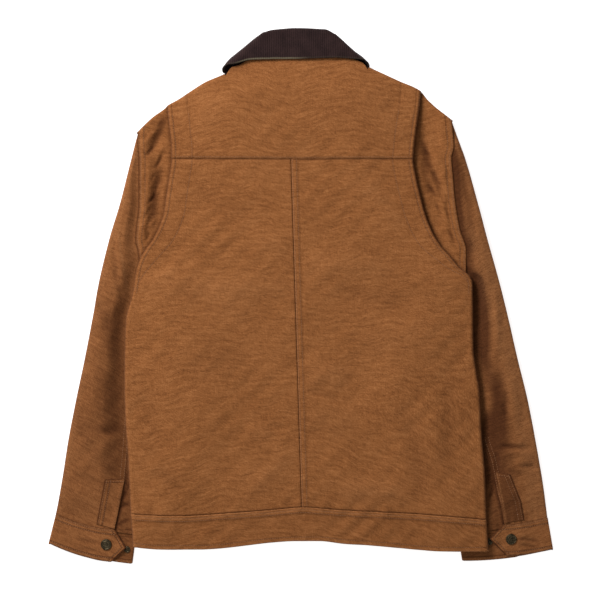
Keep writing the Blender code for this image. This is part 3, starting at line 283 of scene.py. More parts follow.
# Creases, each one soft: from x, y to x, y, half width, height, bow to the left of its way
BACK_CREASES = [
    (-74, 76, -14, 70, 15, 1.0, 3), (-132, 12, -10, 8, 15, 1.2, 4), (8, 44, 146, 34, 15, 1.4, 6),
    (40, 12, 176, -12, 14, -1.2, -4), (66, 172, 146, 90, 13, 1.4, 8),
    (112, 150, 160, 132, 4, -0.7, 2), (104, 134, 150, 116, 4, -0.6, 2),
    (4, -112, 68, -118, 15, 1.6, 5), (6, -132, 66, -156, 5, -1.1, 3),
    (6, -168, 76, -182, 20, 1.1, 4), (12, -188, 38, -206, 5, -0.8, 2),
    (50, -276, 156, -281, 14, 2.0, 5), (-76, -191, -40, -195, 11, 1.1, 3),
    (-46, -183, -20, -188, 4, -0.9, 1), (-78, -280, -10, -206, 13, 1.3, -5),
    (-206, -244, -166, -280, 13, -1.4, 3), (144, -150, 172, -296, 15, -1.5, 6),
    (214, -110, 212, -256, 13, -1.4, -4), (-226, -120, -206, -240, 16, -1.0, 5),
    (-190, 30, -60, -40, 24, 0.9, 12), (-40, -60, -170, -110, 22, -0.8, 8),
    (70, -60, 190, -40, 20, 0.8, -7), (-228, 10, -170, 44, 10, 0.9, -3),
    (236, 8, 176, 44, 10, 1.0, 3), (-160, 150, -60, 120, 20, -0.7, -6),
    (26, 332, 36, 329, 2.6, -0.8, 0), (38, 331, 47, 327, 2.4, -0.6, 0),
    (-120, 300, -150, 230, 16, 0.8, 5), (110, 300, 140, 220, 16, 0.9, -5),
]
LEFT_SLEEVE_CREASES = [
    (-260, 104, -246, -4, 3.6, 1.1, -2), (-267, 80, -253, -10, 4.5, -0.9, -2),
    (-262, -6, -271, -120, 14, -1.0, 0), (-271, -105, -274, -205, 17, -1.2, 0),
    (-274, -215, -270, -262, 11, -1.0, 0),
    (-300, -186, -250, -191, 6.0, -1.2, -2), (-302, -199, -252, -202, 7, 1.0, -2),
    (-330, -150, -290, -230, 12, -1.0, 4), (-300, -60, -262, -120, 11, 0.9, 4),
    (-258, 180, -248, 120, 6, 0.8, 2), (-330, -270, -296, -300, 9, 0.9, 3),
    (-318, -250, -286, -262, 5, -0.8, -2), (-300, 10, -268, -60, 9, -0.8, 3),
    (-258, -301, -241, -293, 2.6, -2.2, 0), (-265, -328, -242, -316, 2.8, -2.4, 1),
    (-262, -313, -243, -305, 2.6, 1.2, 0), (-252, -288, -241, -262, 2.6, -1.8, 0),
    (-342, -296, -330, -316, 4, 0.6, 1),
]
RIGHT_SLEEVE_CREASES = [
    (228, 214, 238, 120, 7, -2.6, -2), (238, 130, 250, 52, 7, -2.2, -2),
    (252, 44, 258, -56, 9, -3.2, -2), (258, -40, 266, -122, 9, -1.5, -2),
    (276, 26, 276, -100, 5.5, 1.7, 2),
    (276, -98, 281, -206, 12, -3.2, 2), (299, -110, 304, -190, 8, 1.0, 1),
    (268, -130, 262, -176, 5, 1.4, 1), (262, -150, 266, -206, 4, -1.8, 1),
    (292, -132, 290, -176, 4, -1.3, -1),
    (279, -222, 278, -250, 3.2, -3.0, 1), (286, -224, 285, -246, 4, 1.3, -1),
    (276, -214, 328, -216, 3.4, -2.8, 2), (282, -222, 326, -225, 5, 1.6, 2),
    (308, -240, 340, -243, 3.2, -2.3, 1), (294, -247, 318, -254, 3, -1.5, 1),
    (330, -120, 306, -200, 12, -0.8, -4), (290, -60, 306, -120, 9, 0.8, -4),
    (262, 150, 254, 90, 7, 0.8, -2), (270, 40, 284, -30, 9, -0.9, -3),
    (250, 190, 240, 120, 6, -0.6, 2), (318, -268, 342, -286, 7, 0.9, -2),
    (276, -262, 264, -296, 3.4, -2.2, 2), (268, -244, 262, -268, 3.4, -1.8, 1),
    (284, -300, 266, -312, 3.0, -2.2, 1), (274, -286, 266, -300, 3.0, 1.2, 0),
    (300, -306, 322, -312, 3, 0.6, 1), (320, -180, 344, -200, 8, 0.8, -2),
]
# Long soft puckers in the gussets, which a pleat holds slack
LEFT_GUSSET_CREASES = [
    (-190, 262, -217, 204, 5.5, -2.6, 2), (-205, 248, -224, 214, 5, 1.4, 1),
    (-194, 218, -205, 196, 5, 1.7, 0), (-198, 190, -209, 96, 6.5, -2.7, -3),
    (-215, 196, -216, 150, 4, 1.2, 1), (-220, 150, -221, 92, 4, 1.3, 1),
    (-223, 172, -224, 120, 3, -0.9, 0), (-212, 122, -219, 70, 3.6, -1.5, -2),
    (-223, 205, -211, 197, 2.4, -0.9, 0), (-221, 186, -209, 180, 2.2, -0.8, 0),
    (-226, 100, -215, 60, 3.5, 0.9, 1), (-196, 254, -208, 238, 2.4, -1.3, 1),
    (-202, 240, -214, 222, 2.0, 1.0, -1), (-214, 236, -221, 222, 2.2, -0.9, 0),
    (-208, 216, -221, 198, 2.4, -1.9, 1), (-196, 204, -207, 182, 2.4, -2.1, 1),
    (-205, 176, -214, 160, 2.0, -1.0, -1), (-198, 160, -209, 142, 2.4, 1.1, 1),
    (-205, 150, -218, 130, 2.2, -1.8, 1), (-212, 130, -222, 108, 2.4, -1.5, 0),
    (-206, 112, -217, 98, 2.4, 1.0, 1), (-214, 92, -221, 78, 2.0, -0.9, 1),
]
RIGHT_GUSSET_CREASES = [
    (170, 238, 204, 134, 6.0, -2.6, -4), (186, 238, 213, 140, 6, 1.6, -3),
    (172, 196, 190, 138, 4.5, -1.6, -2), (182, 186, 197, 140, 3.2, 1.3, -1),
    (206, 152, 214, 100, 3.6, -1.9, 0), (199, 128, 214, 70, 4.5, 1.3, -2),
    (213, 108, 224, 62, 4, -1.4, -2), (196, 246, 204, 206, 4, 0.8, 0),
    (196, 118, 206, 96, 3.2, -1.6, 0), (206, 196, 211, 160, 3, -0.7, 0),
    (176, 214, 188, 196, 2.4, -1.2, -1), (184, 206, 196, 186, 2.2, 1.0, 1),
    (188, 180, 202, 156, 2.6, -1.4, -1), (182, 160, 194, 142, 2.4, -1.7, 0),
    (198, 150, 208, 134, 2.0, 1.0, 1), (204, 128, 213, 112, 2.2, -1.1, 0),
    (192, 134, 203, 114, 2.4, -1.9, -1), (208, 96, 219, 78, 2.4, -1.8, 0),
    (214, 84, 223, 70, 2.0, 0.9, 0), (202, 104, 211, 90, 2.2, 1.0, -1),
]
CUFF_CREASES = [
    (306, -344, 343, -350, 2.6, -1.3, 1), (308, -352, 341, -359, 2.8, -1.1, 1),
    (306, -338, 338, -338, 4, 0.8, 0), (-286, -350, -318, -344, 3.4, -0.9, 1),
    (-288, -360, -322, -357, 3.4, -0.8, 1), (-300, -336, -330, -328, 5, 0.6, 1),
]


def smooth(share):
    """0 below 0, 1 above 1, with a soft rise between."""
    share = np.clip(share, 0.0, 1.0)
    return share * share * (3.0 - 2.0 * share)


def lerp(a, b, share):
    return a + (b - a) * share


def through(rows, column=1, sharp=False):
    """A smooth function through a table whose first column rises, or a straight-sided one."""
    table = np.array(rows, float)
    if sharp:
        return lambda where: np.interp(where, table[:, 0], table[:, column])
    place, value = table[:, 0], table[:, column]
    step = np.diff(place)
    rise = np.diff(value) / step
    slope = np.concatenate(([rise[0]], np.zeros(len(step) - 1), [rise[-1]]))
    for k in range(1, len(step)):
        if rise[k - 1] * rise[k] > 0:
            near, far = 2 * step[k] + step[k - 1], step[k] + 2 * step[k - 1]
            slope[k] = (near + far) / (near / rise[k - 1] + far / rise[k])

    def value_at(where):
        where = np.asarray(where, float)
        left = np.clip(np.searchsorted(place, where, side="right") - 1, 0, len(step) - 1)
        width = step[left]
        t = (where - place[left]) / width
        inside = np.clip(t, 0.0, 1.0)
        beyond = (t - inside) * width
        start, end = value[left], value[left + 1]
        pull_start, pull_end = slope[left] * width, slope[left + 1] * width
        cubic = (
            start * (1 + 2 * inside) * (1 - inside) ** 2
            + pull_start * inside * (1 - inside) ** 2
            + end * inside**2 * (3 - 2 * inside)
            + pull_end * inside**2 * (inside - 1)
        )
        return cubic + beyond * np.where(t < 0, slope[left], slope[left + 1])

    return value_at


EDGE = {-1: through(LEFT_EDGE), 1: through(RIGHT_EDGE)}
GUSSET = {-1: through(LEFT_GUSSET), 1: through(RIGHT_GUSSET)}
SLEEVE = {-1: through(LEFT_SLEEVE), 1: through(RIGHT_SLEEVE)}
HINDARM = {-1: through(LEFT_HINDARM), 1: through(RIGHT_HINDARM)}
EDGE_TOP = through(EDGE_HEIGHTS)
ROLL_OUT = through(EDGE_ROLL, 1)
ROLL_LOW = through(EDGE_ROLL, 2)
ROLL_TURN = through(EDGE_ROLL, 3)
CREST = through(SLEEVE_CREST)
SLEEVE_WIDTH = through(SLEEVE_WIDTHS, 1)
UNDER_WIDTH = through(SLEEVE_WIDTHS, 2)
ARMHOLE = {-1: through(LEFT_ARMHOLE), 1: through(RIGHT_ARMHOLE)}
TOP = through(TOP_LINE)
FRONT_NECK = through(FRONT_NECK_SEAM)
LEAF = through(LEAF_LOW)
YOKE = through(YOKE_SEAM)
HEM = through(HEM_SEAM)
HEM_LOW = through(HEM_BOTTOM)
CENTRE = through(CENTRE_SEAM)
NECK = {-1: NECK_LEFT, 1: NECK_RIGHT}
GUSSET_FOOT = {-1: 46.0, 1: 27.0}
FRONT_TOP_Y = {-1: 206.0, 1: 222.0}
SLEEVE_START = {-1: 234.5, 1: 249.5}
# Shade on a sleeve beside the body: width on the arm and at the head, strength
VALLEY = {-1: (46.0, 7.0, 0.29), 1: (27.0, 13.5, 0.8)}
CUFF = {-1: LEFT_CUFF, 1: RIGHT_CUFF}
PLACKET = {-1: LEFT_PLACKET, 1: RIGHT_PLACKET}
SLEEVE_CREASES = {-1: LEFT_SLEEVE_CREASES, 1: RIGHT_SLEEVE_CREASES}
GUSSET_CREASES = {-1: LEFT_GUSSET_CREASES, 1: RIGHT_GUSSET_CREASES}
SIDE_NAME = {-1: "left", 1: "right"}


# Heights of the cloths ---------------------------------------------------------------------------

def creases(table, x, y):
    """The height that a table of creases adds at x, y."""
    total = np.zeros(np.broadcast(x, y).shape)
    for x0, y0, x1, y1, width, height, bow in table:
        span = math.hypot(x1 - x0, y1 - y0)
        ux, uy = (x1 - x0) / span, (y1 - y0) / span
        along = ((x - x0) * ux + (y - y0) * uy) / span
        off = (y - y0) * ux - (x - x0) * uy - 4 * bow * along * (1 - along)
        fade = smooth(np.minimum(along + 0.12, 1.12 - along) / 0.45)
        total = total + height * fade * near(off, width)
    return total


def make_ripples(seed, count, length_x, length_y):
    """A repeatable sum of long low waves, between about -1 and 1."""
    draw = np.random.default_rng(seed)
    waves = [
        (
            2 * math.pi / draw.uniform(*length_x) * draw.choice([-1, 1]),
            2 * math.pi / draw.uniform(*length_y),
            draw.uniform(0, 2 * math.pi),
        )
        for _ in range(count)
    ]
    scale = 1.0 / math.sqrt(count / 2)
    return lambda x, y: scale * sum(np.sin(kx * x + ky * y + phase) for kx, ky, phase in waves)


STREAKS = make_ripples(3, 14, (40, 110), (6, 10))
SWELLS = make_ripples(11, 10, (90, 240), (70, 170))
PUCKERS = make_ripples(5, 6, (17, 34), (200, 400))
RIPPLES = make_ripples(8, 12, (26, 60), (22, 48))


def near(distance, width):
    """1 on a line, and softly 0 beyond its half width."""
    return np.exp(-((distance / width) ** 2))


def groove(distance, width, depth):
    return -depth * near(distance, width)


def grooved(height, distance, rows, width, depth):
    """The height with stitch grooves in it, at several distances from a seam."""
    for row in rows:
        height = height + groove(distance - row, width, depth)
    return height


def inside_back(x, y):
    """How far x, y lies inside the nearer edge of the back."""
    return np.minimum(x - EDGE[-1](y), EDGE[1](y) - x)


def body_edge(side, y):
    """Where the body's outline lies beside a sleeve: at the back's edge or the gusset's."""
    return side * np.maximum(side * EDGE[side](y), side * GUSSET[side](np.maximum(y, 20.0)))


def strip(distance, width, height):
    """Raised by height from distance 0 to width: where seam allowances lie under the cloth."""
    return height * smooth((distance - 0.25) / 1.2) * (1 - smooth((distance - width) / 1.6))


def sleeve_inner(side, y):
    return SLEEVE[side](y) - side * SLEEVE_WIDTH(np.minimum(y, UNDERARM_Y))


def over_sleeve(x, y):
    """1 where the body lies on a sleeve, 0 away from it."""
    below = smooth((UNDERARM_Y + UNDERARM_BLEND + 4.0 - y) / UNDERARM_BLEND)
    reach = [
        smooth((side * (x - sleeve_inner(side, y)) + SLEEVE_MARGIN + SLEEVE_BLEND) / SLEEVE_BLEND)
        for side in (-1, 1)
    ]
    return below * np.maximum(reach[0], reach[1])


def over_leaf(x, y):
    """1 where the body lies on the collar's front, 0 away from it."""
    return smooth((y - LEAF(x) + LEAF_BLEND + 6.0) / LEAF_BLEND)


def front_low(x, y, lapped):
    """Lower face of a front. The lapped one lies on the other at the middle."""
    low = SLEEVE_LIFT * over_sleeve(x, y) + LEAF_LIFT * over_leaf(x, y)
    if lapped:
        low = low + (BODY_WALL + LAYER_GAP) * (1 - smooth((x - LAP_REACH) / LAP_BLEND))
    return low


def back_top(x, y):
    """Upper face of the back's solids."""
    leaf = sum(over_leaf(x + shift, y) for shift in (-20, -12, -4, 4, 12, 20)) / 6
    leaf = leaf * (1 - NECK_EASE * smooth((y - 285.0) / 35.0))
    low = BACK_LOW + BACK_LIFT * over_sleeve(x, y) + LEAF_LIFT * leaf
    inside = inside_back(x, y)
    near = 1 - smooth((inside - 6.0) / EDGE_BLEND)
    near = near * smooth((292.0 - y) / 30.0)
    return lerp(low + BODY_WALL, EDGE_TOP(y), near)


def facing_distance(y):
    """How far inside the edge the facing's stitches run at this height."""
    return FACING_STITCH * smooth((y - FACING_END_Y) / 82.0)


def back_height(x, y):
    """Upper face of the back, as cloth: fuller than the solids, creased, with its seams."""
    inside = inside_back(x, y)
    full = smooth(inside / 75.0)
    puff = lerp(lerp(PUFF_SIDE, PUFF_PLEAT, smooth((y - 30.0) / 60.0)), PUFF_MIDDLE, full)
    puff = lerp(PUFF_HEM, puff, smooth((y - HEM(x) + 20.0) / 70.0))
    neck = smooth((TOP(x) - y + 6.0) / 60.0)
    height = back_top(x, y) + puff * lerp(0.25, 1.0, neck)
    calm = smooth((inside + 2.0) / 16.0) * smooth((y - HEM_LOW(x)) / 14.0) * neck
    soft = 1.6 * creases(BACK_CREASES, x, y) + 0.6 * SWELLS(x, y)
    soft = soft + 0.22 * RIPPLES(x, y)
    height = height + soft * calm + 0.035 * STREAKS(x, y + arch(x, y)) * calm
    hem = y - HEM(x)
    height = height + 0.32 * PUCKERS(x, y) * near(hem - 3.0, 13.0) * smooth(inside / 20)
    pleat = smooth((y - 30.0) / 40.0)
    row = groove(inside - PLEAT_STITCH, 1.3, 0.3) + 0.12 * (1 - smooth((inside - 5.0) / 2.0))
    row = row * smooth((y + 2.0) / 14.0)
    facing = groove(inside - facing_distance(y), 1.5, 0.32) * smooth((y - FACING_END_Y) / 20.0)
    height = height + row * lerp(0.45, 1.0, pleat) + facing * smooth((inside - 3.0) / 4.0)
    return height


def panel_height(x, y):
    """The back's panels below the yoke: the right one is lapped over the left at the middle."""
    across = x - CENTRE(y)
    below = YOKE(x) - y
    height = back_height(x, y)
    height = height + strip(across, 8.6, 0.75) + groove(across - CENTRE_ROWS[0], 0.9, 0.28)
    height = height + groove(across - CENTRE_ROWS[1], 0.9, 0.3) - 0.5 * near(across, 1.6)
    height = height - 0.55 * np.exp(-np.maximum(below, 0.0) / 2.2)
    height = height - 0.35 * np.exp(-np.maximum(y - HEM(x), 0.0) / 2.4)
    return height


def yoke_height(x, y):
    above = y - YOKE(x)
    height = back_height(x, y) + strip(above, 9.5, 0.7)
    return height + groove(above - YOKE_ROW, 0.9, 0.3) + groove(above - 8.0, 0.9, 0.2)


def band_height(x, y):
    below = HEM(x) - y
    bottom = y - HEM_LOW(x)
    height = back_height(x, y) + strip(below, 9.0, 0.85)
    height = grooved(height, below, HEM_ROWS, 0.9, 0.36)
    return height + groove(bottom - HEM_EDGE_ROW, 1.0, 0.4) + 0.12 * RIPPLES(x, y)


def cuff_point(cuff, v, s):
    """Plan points on the upper side of a cuff: v down its width, s from the tab to the fold."""
    v, s = np.asarray(v, float), np.asarray(s, float)
    fold = lerp(np.array(cuff["outer"][0]), np.array(cuff["outer"][1]), v[..., None])
    tab = np.stack([through(cuff["tab"], k, sharp=True)(v) for k in (1, 2)], axis=-1)
    bow = np.stack([np.zeros_like(s), -4 * cuff["bow"] * s * (1 - s)], axis=-1)
    return lerp(tab, fold, s[..., None]) + bow


def cuff_seam_y(side, x):
    shares = np.linspace(-0.3, 1.05, 60)
    line = cuff_point(CUFF[side], np.zeros(60), shares)
    order = np.argsort(line[:, 0])
    return np.interp(x, line[order, 0], line[order, 1])


def cuff_seam_low_y(side, x):
    """Upper edge of a cuff's lower side, and of its end under the tab."""
    (x0, y0), (x1, y1) = CUFF[side]["outer"][0], CUFF[side]["inner"][0]
    share = (x - x0) / (x1 - x0)
    inside = np.clip(share, 0.0, 1.0)
    return lerp(y0, y1, share) - 4 * CUFF_LOW_BOW * inside * (1 - inside)


def tab_low(side, plan):
    """Lower face of a cuff's upper side and tab."""
    cuff = CUFF[side]
    tip = np.array(cuff["tab"][1][1:])
    past_snap = side * (plan[..., 0] - cuff["snap"][0])
    low = lerp(TAB_LOW, CUFF_OUTER_LOW, smooth((past_snap - 11.0) / 22.0))
    near = np.linalg.norm(plan - tip, axis=-1)
    return low + TAB_TIP_LIFT * (1 - smooth((near - 3.0) / 16.0))


def gusset_top(side, x, y):
    """Upper face of a gusset: low and slack in the pleat, then up onto the sleeve head."""
    inside = side * (GUSSET[side](y) - x)
    foot = y - GUSSET_FOOT[side]
    width = np.maximum(side * (GUSSET[side](y) - EDGE[side](y)) - 5.0, 8.0)
    low = 4.7 + 2.6 * (1 - smooth((foot - 10.0) / 50.0))
    high = 8.3 + 2.2 * smooth((foot - 16.0) / 40.0)
    high = high - 1.0 * smooth((y - 215.0) / 30.0)
    height = lerp(low, high, 1 - smooth((inside - 7.0) / np.minimum(width, 26.0)))
    slack = smooth((inside - 3.0) / 6.0) * smooth((foot - 6.0) / 30.0) * smooth((250.0 - y) / 25.0)
    puckers = creases(GUSSET_CREASES[side], x, y) + 0.25 * RIPPLES(1.7 * x, 0.8 * y)
    height = height + puckers * slack + 0.03 * STREAKS(x, y)
    return grooved(height, inside, GUSSET_ROWS, 0.9, 0.3)


def sleeve_height(side, x, y):
    """Upper face of a sleeve: low beside the body, up to a crest, and down to its outer fold."""
    head = smooth((y - GUSSET_FOOT[side] + 20.0) / 70.0)
    body = body_edge(side, y)
    beyond = side * (x - body)
    width = np.maximum(side * (SLEEVE[side](y) - body), 8.0)
    share = beyond / width
    rise = CREST(y) * smooth((beyond - 2.0) / np.maximum(0.42 * width, 12.0))
    fall = 0.34 * CREST(y) * smooth((share - 0.6) / 0.4)
    height = lerp(4.0, 6.2 + SLEEVE_HEAD_LIFT * smooth((244.0 - y) / 34.0), head) + rise - fall
    calm = smooth((beyond + 1.0) / 12.0) * smooth((1.0 - share) / 0.14)
    soft = creases(SLEEVE_CREASES[side], x, y) + 0.35 * SWELLS(1.6 * x, y) + 0.22 * RIPPLES(x, y)
    height = height + soft * calm
    seam = side * (HINDARM[side](np.minimum(y, 25.0)) - x)
    first, second = HINDARM_ROWS
    near_seam = groove(-seam - first, 0.9, 0.3) + groove(-seam - second, 0.9, 0.26)
    height = height + near_seam * smooth((20.0 - y) / 20.0)
    above = y - cuff_seam_y(side, x)
    plan = np.stack(np.broadcast_arrays(x, y), axis=-1)
    at_cuff = np.minimum(tab_low(side, plan), TAB_LOW) + CUFF_WALL - 1.0
    gathers = 0.3 * np.sin(x * 0.75 + side) * np.exp(-np.maximum(above, 0.0) / 14.0)
    return lerp(at_cuff, height, smooth(above / 42.0)) + gathers


# Grids and cloths --------------------------------------------------------------------------------

def outward(points, away):
    """Unit normals of a plan curve, on the side that away points to."""
    along = np.gradient(np.asarray(points), axis=0)
    normal = np.stack([along[:, 1], -along[:, 0]], axis=1)
    normal /= np.linalg.norm(normal, axis=1)[:, None]
    return normal * np.sign((normal * np.asarray(away)).sum(axis=1))[:, None]


def with_height(plan, height):
    return np.concatenate([plan, np.asarray(height)[..., None]], axis=-1)


def shares(length, cell, fine_start=0.0, fine_end=0.0, fine=0.9):
    """Shares from 0 to 1 along a length, in steps of about cell, or of about fine within
    fine_start of its start and fine_end of its end."""
    cell, fine = cell * COARSE, fine * COARSE
    place = np.linspace(0.0, length, 400)
    near = np.ones(400)
    if fine_start:
        near = np.minimum(near, smooth((place - fine_start) / 6.0))
    if fine_end:
        near = np.minimum(near, smooth((length - place - fine_end) / 6.0))
    count = np.concatenate(([0.0], np.cumsum(np.diff(place) / lerp(fine, cell, near[1:]))))
    steps = max(int(round(count[-1])), 4)
    return np.interp(np.linspace(0, count[-1], steps + 1), count, place) / length


def coons(left, right, bottom, top, u, v):
    """Plan points between four edges. u and v are the shares of the columns and the rows."""
    v, u = v[:, None, None], u[None, :, None]
    left, right = left[:, None, :], right[:, None, :]
    bottom, top = bottom[None, :, :], top[None, :, :]
    corners = (
        (1 - u) * (1 - v) * bottom[:, :1] + u * (1 - v) * bottom[:, -1:]
        + (1 - u) * v * top[:, :1] + u * v * top[:, -1:]
    )
    return lerp(left, right, u) + lerp(bottom, top, v) - corners


def ring_normals(sheet):
    """Unit normals of a grid of points."""
    across, along = np.gradient(sheet, axis=1), np.gradient(sheet, axis=0)
    normal = np.cross(across, along)
    return normal / np.maximum(np.linalg.norm(normal, axis=-1), 1e-9)[..., None]


def unrolled(sheet, cloth):
    """The places in the weave, moved on where a cloth climbs or rolls, so it isn't drawn out."""
    moved = cloth
    for axis in (0, 1):
        step = np.diff(sheet, axis=axis)
        flat = np.maximum(np.linalg.norm(step[..., :2], axis=-1), 1e-6)
        more = np.clip(np.linalg.norm(step, axis=-1) / flat - 1.0, 0.0, 8.0)
        run = np.cumsum(np.diff(cloth, axis=axis) * more[..., None], axis=axis)
        run = np.insert(run, 0, 0.0, axis=axis)
        moved = moved + run - np.take(run, [sheet.shape[axis] // 2], axis=axis)
    return moved


RIM_STEPS = 3
SHEETS = {}


def faces_and_border(cells):
    """The corners of each cell that is cloth, and the two ends of each edge on the border."""
    rows, columns = cells.shape
    index = np.arange((rows + 1) * (columns + 1)).reshape(rows + 1, columns + 1)
    i, j = np.nonzero(cells)
    ring = np.stack([index[i, j], index[i, j + 1], index[i + 1, j + 1], index[i + 1, j]], axis=1)
    padded = np.pad(cells, 1)
    open_below = ~padded[i, j + 1]
    open_right = ~padded[i + 1, j + 2]
    open_above = ~padded[i + 2, j + 1]
    open_left = ~padded[i + 1, j]
    border = np.concatenate([
        ring[missing][:, [k, (k + 1) % 4]]
        for k, missing in enumerate((open_below, open_right, open_above, open_left))
    ])
    return ring, border


def outwards_at_rim(points, normal, border):
    """At each point of the border, the way out of the cloth within its own plane."""
    edge = points[border[:, 1]] - points[border[:, 0]]
    edge /= np.maximum(np.linalg.norm(edge, axis=1), 1e-9)[:, None]
    out = np.zeros(points.shape)
    for end in (0, 1):
        np.add.at(out, border[:, end], np.cross(edge, normal[border[:, end]]))
    return out


def shell(name, sheet, material, flip=False, thick=CLOTH, cells=None, cloth=None, wear_and_painted_light=None,
          seams=None):
    """A cloth of even thickness with rounded rims, from the grid of points of one of its faces.

    flip turns the side to which the thickness goes. cells says which cells of the grid are cloth,
    cloth holds each point's place in the weave, across and along, wear says how rubbed it is, with
    painted highlights among it, and seams how dark, at seams and rows and where shade is painted.
    The grid is kept in SHEETS for its flat size.
    """
    rows, columns = sheet.shape[:2]
    if cells is None:
        cells = np.ones((rows - 1, columns - 1), bool)
    side = -1.0 if flip else 1.0
    normal = ring_normals(sheet) * side
    inner = sheet - normal * thick
    cloth = unrolled(sheet, sheet[..., :2] if cloth is None else cloth)
    wear_and_painted_light = np.zeros((rows, columns)) if wear_and_painted_light is None else wear_and_painted_light
    seams = np.zeros((rows, columns)) if seams is None else seams
    ring, border = faces_and_border(cells)
    total = rows * columns
    points, back, normal = sheet.reshape(-1, 3), inner.reshape(-1, 3), normal.reshape(-1, 3)
    rim_points = np.unique(border)
    out = outwards_at_rim(points, normal * side, border)[rim_points]
    out /= np.maximum(np.linalg.norm(out, axis=1), 1e-9)[:, None]
    middle = (points[rim_points] + back[rim_points]) / 2
    half = np.linalg.norm(points[rim_points] - back[rim_points], axis=1)[:, None] / 2
    layers = [points, back]
    for k in range(1, RIM_STEPS + 1):
        angle = math.pi * k / (RIM_STEPS + 1)
        layers.append(
            middle + out * half * math.sin(angle) + normal[rim_points] * half * math.cos(angle)
        )
    place = np.full(total, -1)
    place[rim_points] = np.arange(len(rim_points))
    starts = [2 * total + k * len(rim_points) for k in range(RIM_STEPS)]
    levels = [border] + [place[border] + start for start in starts] + [border + total]
    faces = [ring if side > 0 else ring[:, ::-1], (ring[:, ::-1] if side > 0 else ring) + total]
    for near, far in zip(levels[:-1], levels[1:]):
        quad = np.stack([near[:, 0], far[:, 0], far[:, 1], near[:, 1]], axis=1)
        faces.append(quad if side > 0 else quad[:, ::-1])
    faces = np.concatenate(faces)
    points = np.concatenate(layers)
    around = [cloth.reshape(-1, 2)] * 2 + [cloth.reshape(-1, 2)[rim_points]] * RIM_STEPS
    marks = {}
    for key, values in (("wear_and_painted_light", wear_and_painted_light), ("seams", seams)):
        flat = values.reshape(-1)
        marks[key] = np.concatenate([flat] * 2 + [flat[rim_points]] * RIM_STEPS)
    used = np.unique(faces)
    place = np.full(len(points), -1)
    place[used] = np.arange(len(used))
    mesh_piece(
        name, points[used], place[faces], material, np.concatenate(around)[used],
        {key: values[used] for key, values in marks.items()},
    )
    SHEETS[name] = (sheet, cells)


def put_in_scene(name, mesh, material):
    mesh.materials.append(material)
    piece = bpy.data.objects.new(name, mesh)
    bpy.context.scene.collection.objects.link(piece)
    return piece


def mesh_piece(name, points, faces, material, cloth=None, marks=None):
    """A smooth mesh from points in millimetres and faces of four corners. No point is left below
    the floor."""
    mesh = bpy.data.meshes.new(name)
    mesh.vertices.add(len(points))
    moved = (np.asarray(points) + (SHIFT_X, 0.0, 0.0)) * MM
    moved[:, 2] = np.maximum(moved[:, 2], 0.0)
    mesh.vertices.foreach_set("co", moved.ravel())
    corners = faces.shape[1]
    mesh.loops.add(faces.size)
    mesh.loops.foreach_set("vertex_index", faces.ravel().astype(np.int32))
    mesh.polygons.add(len(faces))
    mesh.polygons.foreach_set("loop_start", np.arange(len(faces), dtype=np.int32) * corners)
    mesh.update(calc_edges=True)
    if cloth is not None:
        layer = mesh.uv_layers.new(name="cloth")
        layer.data.foreach_set("uv", (cloth[faces.ravel()] * MM).ravel().astype(np.float32))
    for key, values in (marks or {}).items():
        mark = mesh.attributes.new(key, "FLOAT", "POINT")
        mark.data.foreach_set("value", values.astype(np.float32))
    mesh.shade_smooth()
    return put_in_scene(name, mesh, material)


def arch(x, y):
    """How far the weft has drifted from straight: arched on the yoke, falling at the lower
    right."""
    low = smooth((-70.0 - y) / 190.0)
    fall = lerp(0.16, 0.44, smooth((x + 30.0) / 60.0)) * (np.sqrt(x**2 + 60.0**2) - 60.0)
    high = smooth((y - 150.0) / 90.0)
    bend = -6.5 * np.cos(2 * math.pi * (x - 70.0) / 165.0) + 0.02 * np.abs(x)
    waves = 3.2 * np.sin(x / 47.0 + 0.8) + 2.0 * np.sin(x / 23.0 + y / 90.0)
    waves = waves + 1.2 * np.sin(x / 9.5 + y / 31.0) + 0.8 * np.sin(x / 6.1 - y / 17.0)
    return fall * low + bend * high + waves


def body_cloth(sheet):
    x, y = sheet[..., 0], sheet[..., 1]
    return np.stack([x, y + arch(x, y)], axis=-1)


def sleeve_cloth(side, sheet):
    """The weave of a sleeve, turned with it, so its ribs run across the arm."""
    turn = math.radians(24.0) * side
    x, y = sheet[..., 0], sheet[..., 1]
    across = math.cos(turn) * x + math.sin(turn) * y
    along = -math.sin(turn) * x + math.cos(turn) * y
    return np.stack([across + 900.0, along + 2.0 * np.sin(across / 30.0)], axis=-1)


def corner_height(side, line, inset):
    """Where a seam, y as a function of x, meets the edge of the back moved in by inset."""
    y = float(line(EDGE[side](0.0)))
    for _ in range(30):
        y = float(line(EDGE[side](y) - side * inset))
    return y


def offset_line(line, by):
    return lambda where: line(where) + by


ROLL_STEPS = 10


def rolled_edge(plan, height, normal, reach, heights):
    """Columns that roll the back's edge outwards, down and under, from the plan points of a
    sheet's last column."""
    turn = np.radians(ROLL_TURN(heights))
    drop = (height - ROLL_LOW(heights)) / (1 - np.cos(turn))
    columns = []
    for k in range(1, ROLL_STEPS + 1):
        angle = turn * k / ROLL_STEPS
        moved = plan + normal * (reach * np.sin(angle))[:, None]
        columns.append(with_height(moved, height - drop * (1 - np.cos(angle))))
    return np.stack(columns, axis=1)


